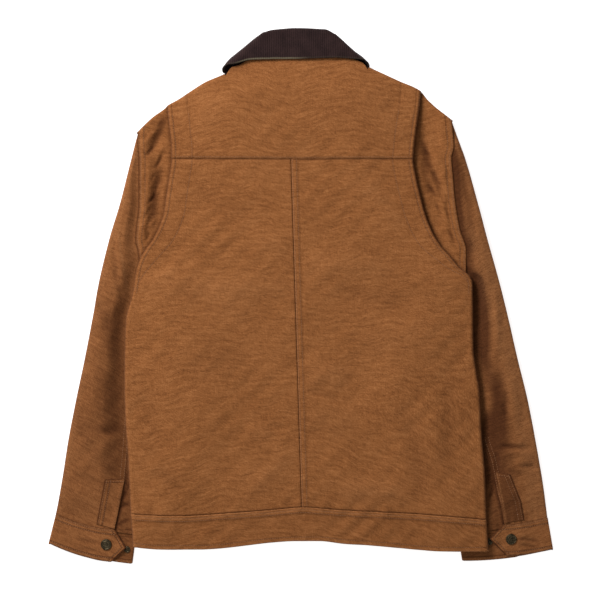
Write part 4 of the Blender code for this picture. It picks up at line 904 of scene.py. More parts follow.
def back_sheet(left_side, right_side, bottom_line, top_line, height_of, u, v):
    """The grid of a panel of the back. A side is -1 or 1 at a rolled edge, or a function that
    gives x at a height where the panel ends in a seam."""
    edges, rolls = [], []
    for side, seam in ((-1, left_side), (1, right_side)):
        if callable(seam):
            start, end = -300.0, 196.0
            for _ in range(6):
                start = float(bottom_line(seam(start)))
                end = float(top_line(seam(end)))
            heights = lerp(start, end, v)
            edges.append(np.stack([seam(heights), heights], axis=1))
            rolls.append(None)
            continue
        start = corner_height(side, bottom_line, float(ROLL_OUT(-300.0)))
        end = corner_height(side, top_line, float(ROLL_OUT(240.0)))
        heights = lerp(start, end, v)
        edge = np.stack([EDGE[side](heights), heights], axis=1)
        normal = outward(edge, (side, 0.0))
        reach = ROLL_OUT(heights)
        edges.append(edge - normal * reach[:, None])
        rolls.append((normal, reach, heights))
    left, right = edges
    bottom_x = lerp(left[0, 0], right[0, 0], u)
    top_x = lerp(left[-1, 0], right[-1, 0], u)
    bottom = np.stack([bottom_x, bottom_line(bottom_x)], axis=1)
    top = np.stack([top_x, top_line(top_x)], axis=1)
    bottom[0], bottom[-1], top[0], top[-1] = left[0], right[0], left[-1], right[-1]
    plan = coons(left, right, bottom, top, u, v)
    height = height_of(plan[..., 0], plan[..., 1])
    sheet = with_height(plan, height)
    for end, roll in zip((0, -1), rolls):
        if roll is None:
            continue
        more = rolled_edge(plan[:, end], height[:, end], *roll)
        if end == 0:
            sheet = np.concatenate([more[:, ::-1], sheet], axis=1)
        else:
            sheet = np.concatenate([sheet, more], axis=1)
    return sheet


def shade(table, x, y, strength=0.22):
    """The painted shade in the troughs of a crease table."""
    return strength * np.clip(-creases(table, x, y), 0.0, 3.5)


def darkest(lines, others=()):
    """How dark soft lines make a cloth, at seams, rows and painted shade: strength, distance from
    each line, half width, where it shows.
    """
    shades = [
        strength * near(distance, width) * shown for strength, distance, width, shown in lines
    ]
    return np.max(np.stack([*shades, *others]), axis=0)


def back_seams_and_painted_shade(sheet):
    """How dark the back's seams and rows are, with painted shade at its edges, folds and troughs.
    """
    x, y = sheet[..., 0], sheet[..., 1]
    inside = inside_back(x, y)
    across, above, over = x - CENTRE(y), y - YOKE(x), y - HEM(x)
    panels = smooth(-above / 1.5) * smooth(over / 1.5)
    facing = smooth((y - FACING_END_Y - 8.0) / 20.0)
    return darkest([
        (0.5, inside - PLEAT_STITCH, 1.0, smooth((y + 2.0) / 14.0)),
        (0.3, inside - facing_distance(y), 1.3, facing),
        (0.7, across, 0.8, panels),
        (0.3, across - CENTRE_ROWS[0], 0.8, panels),
        (0.36, across - CENTRE_ROWS[1], 0.9, panels),
        (0.8, above + 0.9, 0.9, 1.0),
        (0.25, above - YOKE_ROW, 0.8, 1.0),
        (0.8, over - 0.8, 0.8, 1.0),
        (0.12, over + HEM_ROWS[0], 0.8, 1.0),
        (0.62, over + 8.0, 1.15, 1.0),
        (0.5, y - HEM_LOW(x) - HEM_EDGE_ROW, 1.1, 1.0),
        # painted shade along the rolled edges, at the hem's fold and at the shoulder's fold
        (0.5, inside - 0.4, 1.9, 1.0),
        (0.35, y - HEM_LOW(x), 1.2, 1.0),
        (0.35, TOP(x) - y, 1.5, 1.0),
    # painted shade in the creases' troughs
    ], [shade(BACK_CREASES, x, y, 0.13)])


def edge_wear_and_ridge_highlight(sheet, seam=None):
    """More rubbed along the rolled edges and the raised seams, with a painted highlight on crease
    ridges.
    """
    x, y = sheet[..., 0], sheet[..., 1]
    inside = inside_back(x, y)
    wear_and_painted_light = 0.1 * near(inside - 2.6, 1.8)
    # painted highlight on the creases' ridges
    wear_and_painted_light = np.maximum(wear_and_painted_light, 0.12 * np.clip(creases(BACK_CREASES, x, y), 0.0, 3.0))
    wear_and_painted_light = np.maximum(wear_and_painted_light, 0.38 * near(y - HEM(x) + 4.2, 1.5))
    for distance in seam or ():
        wear_and_painted_light = np.maximum(wear_and_painted_light, 0.5 * near(distance(x, y) - 0.6, 1.1))
    return wear_and_painted_light


# Rough lengths along which the grids of the back are stepped
PANEL_LONG, PANEL_WIDE = 495.0, 235.0
BAND_LONG, BAND_WIDE = 46.0, 492.0
YOKE_LONG, YOKE_WIDE = 110.0, 350.0


def make_back():
    below_yoke = offset_line(YOKE, -SEAM_STAND)
    above_hem = offset_line(HEM, SEAM_STAND)
    v = shares(PANEL_LONG, 2.3, 9.0, 7.0, 1.1)
    left_u = shares(PANEL_WIDE, 2.3, 10.0, 9.0)
    right_u = shares(PANEL_WIDE, 2.3, 11.0, 10.0)
    middle_left = offset_line(CENTRE, -SEAM_STAND)
    middle_right = offset_line(CENTRE, SEAM_STAND)
    left = back_sheet(-1, middle_left, above_hem, below_yoke, panel_height, left_u, v)
    right = back_sheet(middle_right, 1, above_hem, below_yoke, panel_height, right_u, v)
    seams = [lambda x, y: x - CENTRE(y)]
    for name, sheet in (("left", left), ("right", right)):
        shell(f"cloth_back_{name}", sheet, DUCK, cloth=body_cloth(sheet), seams=back_seams_and_painted_shade(sheet),
              wear_and_painted_light=edge_wear_and_ridge_highlight(sheet, seams if name == "right" else None))


# painted shade over the whole band
BAND_SHADE = 0.11
BAND_ROLL = 1.5  # radius of the hem's fold
FRONT_BAND_ROLL = 1.3


def make_band():
    v = shares(BAND_LONG, 1.5, 9.0, 8.0, 0.9)
    u = shares(BAND_WIDE, 2.6, 8.0, 8.0, 1.2)
    bottom, top = offset_line(HEM_LOW, BAND_ROLL), offset_line(HEM, -SEAM_STAND)
    sheet = back_sheet(-1, 1, bottom, top, band_height, u, v)
    sheet = hem_roll(sheet, BAND_ROLL)
    shell("cloth_band_back", sheet, DUCK, cloth=body_cloth(sheet) + (0.0, 3.0),
          seams=np.maximum(back_seams_and_painted_shade(sheet), BAND_SHADE),
          wear_and_painted_light=np.maximum(edge_wear_and_ridge_highlight(sheet, [lambda x, y: HEM(x) - y]), hem_wear(sheet)))


def hem_wear(sheet):
    """More rubbed along the hem's fold."""
    bottom = sheet[..., 1] - HEM_LOW(sheet[..., 0])
    return 0.4 * near(bottom - 1.6, 1.4)


HEM_DRAW = 0.006  # the turned-in hem is this much narrower


def hem_roll(sheet, radius, down=1.0, under=5.0):
    """Adds rows below a band that fold its lower edge under, and on inside by under."""
    first = sheet[0]
    rows = []
    for k in range(1, 7):
        angle = math.pi * k / 6
        row = first.copy()
        row[:, 0] *= 1 - HEM_DRAW * k / 6
        row[:, 1] -= radius * math.sin(angle)
        row[:, 2] -= down * radius * (1 - math.cos(angle))
        rows.append(row)
    for k in (1, 2):
        row = rows[5].copy()
        row[:, 1] += under * k / 2
        rows.append(row)
    return np.concatenate([np.stack(rows[::-1]), sheet])


def flap_rows(sheet, turn_steps, flat_steps, gap=0.05):
    """Rows that roll a sheet's last row over the shoulder and on under it."""
    last = sheet[-1]
    near_x = np.clip(last[:, 0], last[:, 0].min() + 7.0, last[:, 0].max() - 7.0)
    slope = (TOP(near_x + 1.0) - TOP(near_x - 1.0)) / 2
    normal = np.stack([-slope, np.ones(len(slope))], axis=1) / np.hypot(slope, 1.0)[:, None]
    side = np.where(last[:, 0] < 0, 0, 1)
    shift = np.array([FLAP_SHIFT[-1], FLAP_SHIFT[1]])[side]
    inset = TOP(last[:, 0]) - last[:, 1]
    travel = shift + np.stack([np.zeros_like(inset), inset], axis=1)
    low = front_low(last[:, 0], last[:, 1], False) + gap
    middle = (last[:, 2] + low) / 2
    radius = inset * normal[:, 1]
    rows = []
    for k in range(1, turn_steps + 1):
        angle = math.pi * k / turn_steps
        plan = last[:, :2] + normal * (radius * math.sin(angle))[:, None]
        rows.append(with_height(plan, middle + (last[:, 2] - middle) * math.cos(angle)))
    for k in range(1, flat_steps + 1):
        share = k / flat_steps
        plan = last[:, :2] + travel * share
        lifted = front_low(plan[:, 0], plan[:, 1], False) - low
        rows.append(with_height(plan, 2 * middle - last[:, 2] + lifted))
    return np.stack(rows)


def shoulder_inset(x, roll):
    """How far inside the outline a cloth turns over the shoulder; at the neck it ends in a seam."""
    at_neck = smooth((x - NECK_LEFT) / 8.0) * smooth((NECK_RIGHT - x) / 8.0)
    return roll * (1 - at_neck)


def make_yoke():
    v = shares(YOKE_LONG, 2.2, 10.0, 3.0, 1.1)
    u = shares(YOKE_WIDE, 2.3, 10.0, 10.0)

    def top_line(x):
        return TOP(x) - shoulder_inset(x, YOKE_INSET)

    sheet = back_sheet(-1, 1, offset_line(YOKE, SEAM_STAND), top_line, yoke_height, u, v)
    rows = sheet.shape[0]
    x = sheet[-1, :, 0]
    on_shoulder = (x < NECK_LEFT + 1) | (x > NECK_RIGHT - 1)
    sheet = np.concatenate([sheet, flap_rows(sheet, 10, 9)])
    cells = np.ones((sheet.shape[0] - 1, sheet.shape[1] - 1), bool)
    cells[rows - 1:] = (on_shoulder[:-1] & on_shoulder[1:])[None, :]
    cloth = body_cloth(sheet) + (40.0, 60.0)
    shell("cloth_back_yoke", sheet, DUCK, cells=cells, cloth=cloth, seams=back_seams_and_painted_shade(sheet),
          wear_and_painted_light=edge_wear_and_ridge_highlight(sheet, [lambda x, y: y - YOKE(x)]))


def meet(line, over, guess):
    """Height at which x = line(y) meets y = over(x)."""
    y = guess
    for _ in range(40):
        y = lerp(y, float(over(line(y))), 0.5)
    return y


def make_gusset(side):
    def top_line(x):
        hidden_share = smooth(side * (EDGE[side](270.0) - x - side * 4.0) / 5.0)
        return TOP(x) - lerp(GUSSET_INSET, GUSSET_HIDDEN_INSET, hidden_share)

    def hidden(y):
        reach = lerp(GUSSET_HIDDEN_FOOT, GUSSET_HIDDEN, smooth((y - GUSSET_FOOT[side]) / 50.0))
        return EDGE[side](y) - side * reach

    v = shares(215.0, 1.7)
    u = shares(70.0, 1.6, 11.0, 0.0, 0.9)
    ends = []
    for line in (GUSSET[side], hidden):
        heights = lerp(GUSSET_FOOT[side], meet(line, top_line, 240.0), v)
        ends.append(np.stack([line(heights), heights], axis=1))
    bottom = lerp(ends[0][0], ends[1][0], u[:, None])
    top_x = lerp(ends[0][-1, 0], ends[1][-1, 0], u)
    top = np.stack([top_x, top_line(top_x)], axis=1)
    top[0], top[-1] = ends[0][-1], ends[1][-1]
    plan = coons(ends[0], ends[1], bottom, top, u, v)
    sheet = with_height(plan, gusset_top(side, plan[..., 0], plan[..., 1]))
    rows = len(v)
    sheet = np.concatenate([sheet, flap_rows(sheet, 10, 9, 0.0)])
    cells = np.ones((sheet.shape[0] - 1, len(u) - 1), bool)
    past_yoke = side * (sheet[rows - 1, :, 0] - EDGE[side](270.0)) > -3.5
    cells[rows - 1:] = (past_yoke[:-1] & past_yoke[1:])[None, :]
    x, y = sheet[..., 0], sheet[..., 1]
    inside = side * (GUSSET[side](y) - x)
    covered = side * (x - EDGE[side](y))
    # painted shade in the troughs of the puckers
    troughs = shade(GUSSET_CREASES[side], x, y, 0.27) * smooth((inside - 9.0) / 6.0)
    seams = darkest([
        (0.85, inside + 0.4, 1.5, 1.0),
        (0.4, inside - GUSSET_ROWS[0], 0.8, 1.0),
        (0.5, inside - GUSSET_ROWS[1], 1.0, 1.0),
        # painted shade at the shoulder's fold
        (0.4, TOP(x) - y, 1.6, 1.0),
    # painted shade beside and under the back's edge
    ], [0.6 * (1 - smooth((covered + 1.0) / 9.0)), troughs])
    shell(f"cloth_gusset_{SIDE_NAME[side]}", sheet, DUCK, flip=side > 0, cells=cells, seams=seams,
          cloth=body_cloth(sheet) + (300.0, 80.0), wear_and_painted_light=0.45 * near(inside - 2.9, 1.4))


def front_side(side, y):
    """A front's outer edge: the side's fold, then the armhole."""
    seam = smooth((y - SIDE_TOP_Y) / (UNDERARM_Y - SIDE_TOP_Y))
    return lerp(EDGE[side](y), ARMHOLE[side](y), seam)


def front_top(side, x):
    """A front's upper edge: the seam with the yoke's flap, then the neck."""
    across, down = FLAP_SHIFT[side]
    shoulder = TOP(x - across) + down - 2 * SEAM_GAP
    past_neck = smooth(side * (NECK[side] + across - x) / 4.0)
    return lerp(shoulder, np.minimum(shoulder, FRONT_NECK(x)), past_neck)


def front_sheet(side, bottom_line, top_line, cell, end_guess):
    """The grid of a front panel or front band. Its outer face is the lower one."""
    start = meet(lambda y: front_side(side, y) - side * SIDE_RADIUS, bottom_line, -310.0)
    end = meet(lambda y: front_side(side, y), top_line, end_guess)
    v = shares(end - start, cell, 3.0, 3.0, min(cell, 1.4))
    heights = lerp(start, end, v)
    edge = np.stack([front_side(side, heights), heights], axis=1)
    normal = outward(edge, (side, 0.0))
    rolled = smooth((SIDE_TOP_Y + 18.0 - heights) / 30.0)
    reach = SIDE_RADIUS * rolled + 1.0 * (1 - rolled)
    moved = edge - normal * reach[:, None]
    moved[-1] = (front_side(side, end) - side * reach[-1], end)
    middle = -side * LAP_HALF
    u = shares(230.0, cell, 3.0, 9.0, min(cell, 1.6))
    middle_heights = lerp(float(bottom_line(middle)), float(top_line(middle)), v)
    centre = np.stack([np.full(len(v), middle), middle_heights], axis=1)
    bottom_x = lerp(moved[0, 0], middle, u)
    top_x = lerp(moved[-1, 0], middle, u)
    bottom = np.stack([bottom_x, bottom_line(bottom_x)], axis=1)
    top = np.stack([top_x, top_line(top_x)], axis=1)
    bottom[0], top[0] = moved[0], moved[-1]
    plan = coons(moved, centre, bottom, top, u, v)
    low = front_low(plan[..., 0], plan[..., 1], side > 0)
    sheet = with_height(plan, low)
    more = []
    rise = ROLL_LOW(heights) - 2 * SEAM_STAND - low[:, 0]
    for k in range(1, 7):
        angle = math.pi / 2 * k / 6
        flat = with_height(plan[:, 0] + normal * (reach * k / 6)[:, None], low[:, 0])
        round_plan = plan[:, 0] + normal * (reach * math.sin(angle))[:, None]
        rounded = with_height(round_plan, low[:, 0] + rise * (1 - math.cos(angle)))
        more.append(lerp(flat, rounded, rolled[:, None]))
    return np.concatenate([np.stack(more[::-1], axis=1), sheet], axis=1)


def make_front(side):
    name = SIDE_NAME[side]

    def top_line(x):
        return front_top(side, x) - SEAM_GAP - SEAM_STAND

    sheet = front_sheet(side, offset_line(HEM, SEAM_STAND), top_line, 4.0, FRONT_TOP_Y[side])
    shell(f"cloth_front_{name}", sheet, DUCK, flip=side < 0, cloth=body_cloth(sheet) + (700.0, 0.0))
    bottom, top = offset_line(HEM_LOW, FRONT_BAND_ROLL), offset_line(HEM, -SEAM_STAND)
    sheet = front_sheet(side, bottom, top, 3.0, -300.0)
    sheet = hem_roll(sheet, FRONT_BAND_ROLL, down=-1.0)
    shell(f"cloth_band_front_{name}", sheet, DUCK, flip=side < 0,
          cloth=body_cloth(sheet) + (700.0, 3.0), wear_and_painted_light=hem_wear(sheet))


def top_inner(side, y):
    """Inner edge of a sleeve's upper face: the hindarm seam, then under the gusset."""
    under_gusset = GUSSET[side](y) - side * lerp(TUCK, 1.0, smooth((y - 212.0) / 14.0))
    share = smooth((y - GUSSET_FOOT[side] + 6.0) / 14.0)
    return lerp(HINDARM[side](np.minimum(y, GUSSET_FOOT[side])), under_gusset, share)


def lower_seam(side, y):
    """Inner edge of a sleeve's lower face: the forearm seam, then the armhole."""
    forearm = sleeve_inner(side, y) + side * UNDER_WIDTH(np.minimum(y, UNDERARM_Y))
    tucked = ARMHOLE_TUCK * smooth((ARMHOLE_TUCK_TOP - y) / 8.0)
    armhole = ARMHOLE[side](np.minimum(y, FRONT_TOP_Y[side])) + side * (2 * SEAM_GAP - tucked)
    across, down = FLAP_SHIFT[side]
    above = smooth((y - FRONT_TOP_Y[side]) / 2.0)
    share = (y - FRONT_TOP_Y[side]) / -down
    armhole = armhole - across * share * above
    return lerp(forearm, armhole, smooth((y - UNDERARM_Y) / 12.0))


def sleeve_rows(side, line, seam_y, head):
    """Plan points down a sleeve, along x = line(y), from its head or the underarm to the cuff."""
    end = meet(line, lambda x: float(seam_y(side, x)) + 0.7, -325.0)
    down = shares(325.0, 2.5, 0.0, 6.0, 1.2)
    start = UNDERARM_Y if head else UNDERARM_Y - UNDERARM_GAP
    heights = lerp(start, end, down)
    if head:
        up = shares(SLEEVE_START[side], 2.5, 0.0, 0.0)
        heights = np.concatenate([(SLEEVE_START[side] * up)[:0:-1], heights])
    return np.stack([line(heights), heights], axis=1)


def under_arm(side, plan):
    """Height of a sleeve's lower face, which rises to the lifted front's edge at the underarm."""
    x, y = plan[..., 0], plan[..., 1]
    outside = side * (x - lower_seam(side, y))
    tucked = smooth((ARMHOLE_TUCK_TOP - y) / 8.0)
    lift = np.maximum(front_low(x, y, side > 0) - (CLOTH + 0.1) * tucked, 0.0)
    return lift * (1 - smooth(outside / 15.0)) * smooth((y - UNDERARM_Y) / 5.0)


def follow_cuff(side, plan, seam_y, gap):
    """A column of plan points down a sleeve, eased so that it ends on the cuff's curved seam."""
    shift = float(seam_y(side, plan[-1, 0])) + gap - plan[-1, 1]
    moved = plan.copy()
    moved[:, 1] += shift * smooth((-200.0 - plan[:, 1]) / 110.0)
    return moved


def wrapped(side, plan_top, plan_low, normal, top, radius, steps, seam_y, lap):
    """A sheet from plan_top[0] to a fold, round it and under, to plan_low[0]. Each pair holds the
    point where the sheet ends and the point where the fold starts, per row. On the upper face it
    ends at seam_y, lapped over the cuff by lap."""
    steps_top, steps_turn, steps_low = steps
    columns = []
    for k in range(steps_top):
        gap = lerp(-lap, 0.45, float(smooth((k / steps_top - 0.8) / 0.2)))
        plan = follow_cuff(side, lerp(plan_top[0], plan_top[1], k / steps_top), seam_y, gap)
        columns.append(with_height(plan, top(plan)))
    middle = top(plan_top[1]) / 2
    for k in range(steps_turn + 1):
        angle = math.pi * k / steps_turn
        plan = lerp(plan_top[1], plan_low[1], k / steps_turn)
        plan = plan + normal * (radius * math.sin(angle))[:, None]
        columns.append(with_height(plan, middle + middle * math.cos(angle)))
    for k in range(1, steps_low + 1):
        plan = lerp(plan_low[1], plan_low[0], k / steps_low)
        plan = follow_cuff(side, plan, cuff_seam_low_y, 0.7)
        columns.append(with_height(plan, under_arm(side, plan)))
    return np.stack(columns, axis=1)


def fold_reach(side, y):
    """The outer fold's radius: round on the arm, flatter towards the cuff and at the head."""
    above = y - cuff_seam_y(side, SLEEVE[side](y))
    width = side * (SLEEVE[side](y) - GUSSET[side](np.maximum(y, 150.0)))
    reach = lerp(3.6, SLEEVE_ROLL, smooth(above / 70.0))
    return np.minimum(reach, 1.2 + 0.4 * np.maximum(width, 0.0))


def valley_shade(side, beyond, y):
    """The share of full shade in the valley between a sleeve and the body. On the right it is
    strong at the head and weak below the elbow, on the left the other way about."""
    wide, narrow, _ = VALLEY[side]
    width = lerp(narrow, wide, smooth((70.0 - y) / 110.0))
    flat = 0.1 if side < 0 else lerp(0.12, 0.5, smooth((48.0 - y) / 26.0))
    beside = 1 - smooth((beyond - flat * width) / ((1.1 - flat) * width))
    beside = beside * smooth((225.0 - y) / 40.0)
    if side > 0:
        return beside * lerp(1.0, 0.14, smooth((-56.0 - y) / 56.0))
    return beside * lerp(0.25, 1.0, smooth((10.0 - y) / 110.0))


def right_arm_shade(base, beyond, share, y):
    """The right sleeve's own shade: less on its outer half, more in the hollow above the placket
    and in a narrow stretch beside the gusset."""
    base = base * (1 - smooth((share - 0.35) / 0.3))
    hollow = (1 - smooth((beyond - 24.0) / 28.0)) * smooth((-150.0 - y) / 44.0)
    base = base + 0.55 * hollow * smooth((y + 292.0) / 34.0)
    upper = (1 - smooth((beyond - 5.0) / 9.0)) * smooth((y - 84.0) / 40.0)
    return base + 0.3 * upper


def sleeve_seams_and_painted_shade(side, sheet):
    """How dark a sleeve's seams and rows are, with painted shade in its troughs, beside the body
    and along its outer fold.
    """
    x, y = sheet[..., 0], sheet[..., 1]
    outside = side * (x - HINDARM[side](np.minimum(y, 25.0)))
    arm = smooth((-190.0 - y) / 20.0) if side > 0 else smooth((20.0 - y) / 20.0)
    body = body_edge(side, y)
    beyond = side * (x - body)
    share = beyond / np.maximum(side * (SLEEVE[side](y) - body), 4.0)
    beside = valley_shade(side, beyond, y)
    # darker towards the cuff
    base = 0.14 * smooth((60.0 - y) / 90.0)
    if side > 0:
        base = right_arm_shade(base, beyond, share, y)
    above = y - cuff_seam_y(side, x)
    lines = darkest([
        (0.8, outside, 1.0, arm),
        (0.45, outside - HINDARM_ROWS[0], 0.9, arm),
        (0.5, outside - HINDARM_ROWS[1], 1.0, arm),
        (0.8, above - 0.3, 1.1, 1.0),
        # painted shade along the gusset's edge
        (0.7, beyond - 0.4, 1.4, smooth((y - 24.0) / 12.0)),
    # painted shade along the outer fold
    ], [0.4 * smooth((share - 0.965) / 0.035)])
    # painted shade in the valley beside the body and in the troughs
    soft = VALLEY[side][2] * beside + shade(SLEEVE_CREASES[side], x, y)
    soft = soft + base
    return np.clip(np.maximum(lines, soft), 0.0, 0.85)


def make_sleeve(side):
    """The upper part, round the outer fold to the lower face, and the under part, round the inner
    one."""
    name = SIDE_NAME[side]

    def top_face(plan):
        return sleeve_height(side, plan[..., 0], plan[..., 1])

    def fold(y):
        return SLEEVE[side](y) - side * fold_reach(side, y)

    def along(line, seam_y, shift, head):
        return sleeve_rows(side, lambda y: line(y) + side * shift, seam_y, head)

    def hindarm(y):
        return top_inner(side, y)

    def lower(y):
        at_fold = SLEEVE[side](y) - side * (fold_reach(side, y) + 1.0)
        return lerp(lower_seam(side, y), at_fold, smooth((y - FRONT_TOP_Y[side] + 8.0) / 12.0))

    top_end = along(hindarm, cuff_seam_y, SEAM_STAND, True)
    top_fold = along(fold, cuff_seam_y, 0.0, True)
    low_fold = along(fold, cuff_seam_low_y, 0.0, True)
    low_end = along(lower, cuff_seam_low_y, SEAM_STAND, True)
    away = np.array([side, 0.0])
    steps = (int(40 / COARSE), 12, int(22 / COARSE))
    sheet = wrapped(side, (top_end, top_fold), (low_end, low_fold), away, top_face,
                    fold_reach(side, top_fold[:, 1]), steps, cuff_seam_y, -0.45)
    x, y = sheet[..., 0], sheet[..., 1]
    from_fold = side * (SLEEVE[side](y) - x)
    wear_and_painted_light = 0.25 * near(from_fold - 6.0, 3.0)
    if side > 0:
        # painted light: the right sleeve lighter on its outer part
        rubbed = 0.32 * (1 - smooth((from_fold - 18.0) / 16.0)) * smooth((128.0 - y) / 60.0)
        wear_and_painted_light = np.maximum(wear_and_painted_light, rubbed)
    if side < 0:
        # painted highlight along a crease's ridge
        ridge = near(x - lerp(-259.0, -245.0, (96.0 - y) / 92.0), 1.5)
        wear_and_painted_light = np.maximum(wear_and_painted_light, 0.5 * ridge * smooth((100.0 - y) / 16.0) * smooth(y / 16.0))
    shell(f"cloth_sleeve_upper_{name}", sheet, SLEEVE_DUCK, flip=side > 0,
          cloth=sleeve_cloth(side, sheet), wear_and_painted_light=wear_and_painted_light, seams=sleeve_seams_and_painted_shade(side, sheet))

    radius = SLEEVE_TOP / 2

    def inner_fold(y):
        return sleeve_inner(side, y) + side * radius

    top_end = along(hindarm, cuff_seam_low_y, -SEAM_STAND, False)
    top_fold = along(inner_fold, cuff_seam_low_y, 0.0, False)
    low_end = along(lower, cuff_seam_low_y, -SEAM_STAND, False)
    steps = (int(34 / COARSE), 8, int(14 / COARSE))
    sheet = wrapped(side, (top_end, top_fold), (low_end, top_fold), -away, top_face,
                    np.full(len(top_fold), radius), steps, cuff_seam_low_y, 1.8)
    x, y = sheet[..., 0], sheet[..., 1]
    from_slit = side * (HINDARM[side](y) - x)
    # painted shade in the slit beside the placket's free edge
    slit = 0.85 * (1 - smooth((from_slit - 1.5) / 7.0)) * smooth((-238.0 - y) / 16.0)
    shaded = np.maximum(sleeve_seams_and_painted_shade(side, sheet), slit)
    # painted shade over the under sleeve towards the cuff
    shaded = np.maximum(shaded, (0.55 if side > 0 else 0.42) * smooth((-215.0 - y) / 40.0))
    shell(f"cloth_sleeve_under_{name}", sheet, SLEEVE_DUCK, flip=side < 0,
          cloth=sleeve_cloth(side, sheet) + (200.0, 9.0), seams=shaded)


PLACKET_LONG, PLACKET_WIDE = 72.0, 26.0
PLACKET_SHADE = {-1: 0.1, 1: 0.64}  # the right one lies in the valley beside the body


def make_placket(side):
    """The strip beside a sleeve's opening. Its free edge stands a little off the sleeve."""
    table = np.array(PLACKET[side], float)
    v = shares(PLACKET_LONG, 1.2, 4.0, 3.0, 0.8)
    u = shares(PLACKET_WIDE, 0.9)
    share = v * (len(table) - 1)
    place = np.arange(len(table))
    free = np.stack([np.interp(share, place, table[:, k]) for k in (0, 1)], axis=1)
    fixed = np.stack([np.interp(share, place, table[:, k]) for k in (2, 3)], axis=1)
    plan = lerp(free[:, None, :], fixed[:, None, :], u[None, :, None])
    lift = 1.4 * (1 - smooth(u / 0.4))[None, :] * smooth(v / 0.2)[:, None]
    height = sleeve_height(side, plan[..., 0], plan[..., 1]) + 0.25 + STRIP_CLOTH + lift
    from_fixed = (1 - u) * PLACKET_WIDE
    first, second = PLACKET_ROWS
    rows = groove(from_fixed - first, 0.8, 0.3) + groove(from_fixed - second, 0.8, 0.25)
    end_row = groove(v * PLACKET_LONG - PLACKET_END_ROW, 0.9, 0.25)
    height = height + rows[None, :] + end_row[:, None]
    sheet = with_height(plan, height)
    span, fall = np.meshgrid(PLACKET_WIDE * u, PLACKET_LONG * v)
    seams = darkest([
        (0.6, PLACKET_WIDE - span - 2.6, 1.1, 1.0),
        (0.8, PLACKET_WIDE - span - second, 1.2, 1.0),
        (0.8, fall - 4.0, 1.2, 1.0),
        (0.9, PLACKET_WIDE - span, 1.0, 1.0),
        (0.85, fall, 0.9, 1.0),
        (0.4, span - 1.5, 1.2, 1.0),
    ], [np.full(span.shape, PLACKET_SHADE[side])])
    shell(f"cloth_placket_{SIDE_NAME[side]}", sheet, SLEEVE_DUCK, flip=side > 0, thick=STRIP_CLOTH,
          seams=seams, cloth=sleeve_cloth(side, sheet) + (500.0, 30.0),
          wear_and_painted_light=0.4 * near(span - 1.5, 1.2))


def half_turn(plan, normal, radius, low, high, steps):
    """Columns of a half turn about a fold, from height low to height high or back."""
    columns = []
    for k in range(1, steps + 1):
        angle = math.pi * k / steps
        moved = plan + normal * radius * math.sin(angle)
        height = (low + high) / 2 + (low - high) / 2 * math.cos(angle)
        columns.append(with_height(moved, np.full(len(plan), height)))
    return columns


# A cuff's width as measured down from its seam and up from its lower edge
CUFF_DOWN, CUFF_UP = 46.0, 44.0


def cuff_upper_side(side, v, length, end_share):
    """Columns from the tab's edge to the outer fold, with rows of stitches and creases."""
    cuff = CUFF[side]
    from_seam, from_edge = v * CUFF_DOWN, (1 - v) * CUFF_UP
    first, second = CUFF_ROWS
    top_edge = groove(from_seam - first, 0.8, 0.3) + groove(from_seam - second, 0.8, 0.3)
    rows = top_edge + groove(from_edge - CUFF_LOW_ROW, 0.8, 0.32)
    round_edge = -0.5 * (1 - smooth(from_seam / 1.6)) - 0.5 * (1 - smooth(from_edge / 1.6))
    columns = []
    for s in shares(float(length.max()), 1.5, 8.0, 0.0, 0.8):
        plan = cuff_point(cuff, v, s * end_share)
        height = tab_low(side, plan) + CUFF_WALL
        tab_row = groove(s * length - CUFF_TAB_ROW, 0.8, 0.3)
        soft = creases(CUFF_CREASES, plan[:, 0], plan[:, 1])
        soft = soft + 0.12 * RIPPLES(plan[:, 0], plan[:, 1])
        fade = smooth((1 - s) * length / 10.0)
        columns.append(with_height(plan, height + (rows + tab_row + soft) * fade + round_edge))
    return columns


def cuff_marks(v, sheet, upper_columns):
    """How rubbed a cuff is, and how dark its seams and rows are, with painted shade in its troughs,
    along the tab's edge and under the tab.
    """
    from_seam, from_edge = v * CUFF_DOWN, (1 - v) * CUFF_UP
    first, second = CUFF_ROWS
    wear_and_painted_light = np.maximum(near(from_seam, 1.5), near(from_edge, 1.8))
    wear_and_painted_light = 0.35 * wear_and_painted_light[:, None] * np.ones((1, sheet.shape[1]))
    lines = darkest([
        (0.55, from_seam - first, 1.0, 1.0),
        (0.8, from_seam - second, 1.2, 1.0),
        (0.8, from_edge - CUFF_LOW_ROW, 1.2, 1.0),
        (0.7, from_edge, 1.1, 1.0),
        (0.8, v * CUFF_UP, 1.0, 1.0),
    ])
    seams = lines[:, None] * np.ones((1, sheet.shape[1]))
    # painted shade in the creases' troughs
    seams = np.maximum(seams, shade(CUFF_CREASES, sheet[..., 0], sheet[..., 1], 0.4))
    from_start = np.linalg.norm(sheet[:, :, :2] - sheet[:, :1, :2], axis=-1)
    upper = np.arange(sheet.shape[1])[None, :] < upper_columns
    tab_row = near(from_start - CUFF_LOW_ROW, 1.2)
    # painted shade along the tab's edge
    at_tab = np.maximum(0.85 * near(from_start, 1.2), 0.8 * tab_row) * upper
    # painted shade over the end under the tab
    return wear_and_painted_light, np.maximum(np.maximum(seams, at_tab), np.where(upper, 0.0, 0.3))


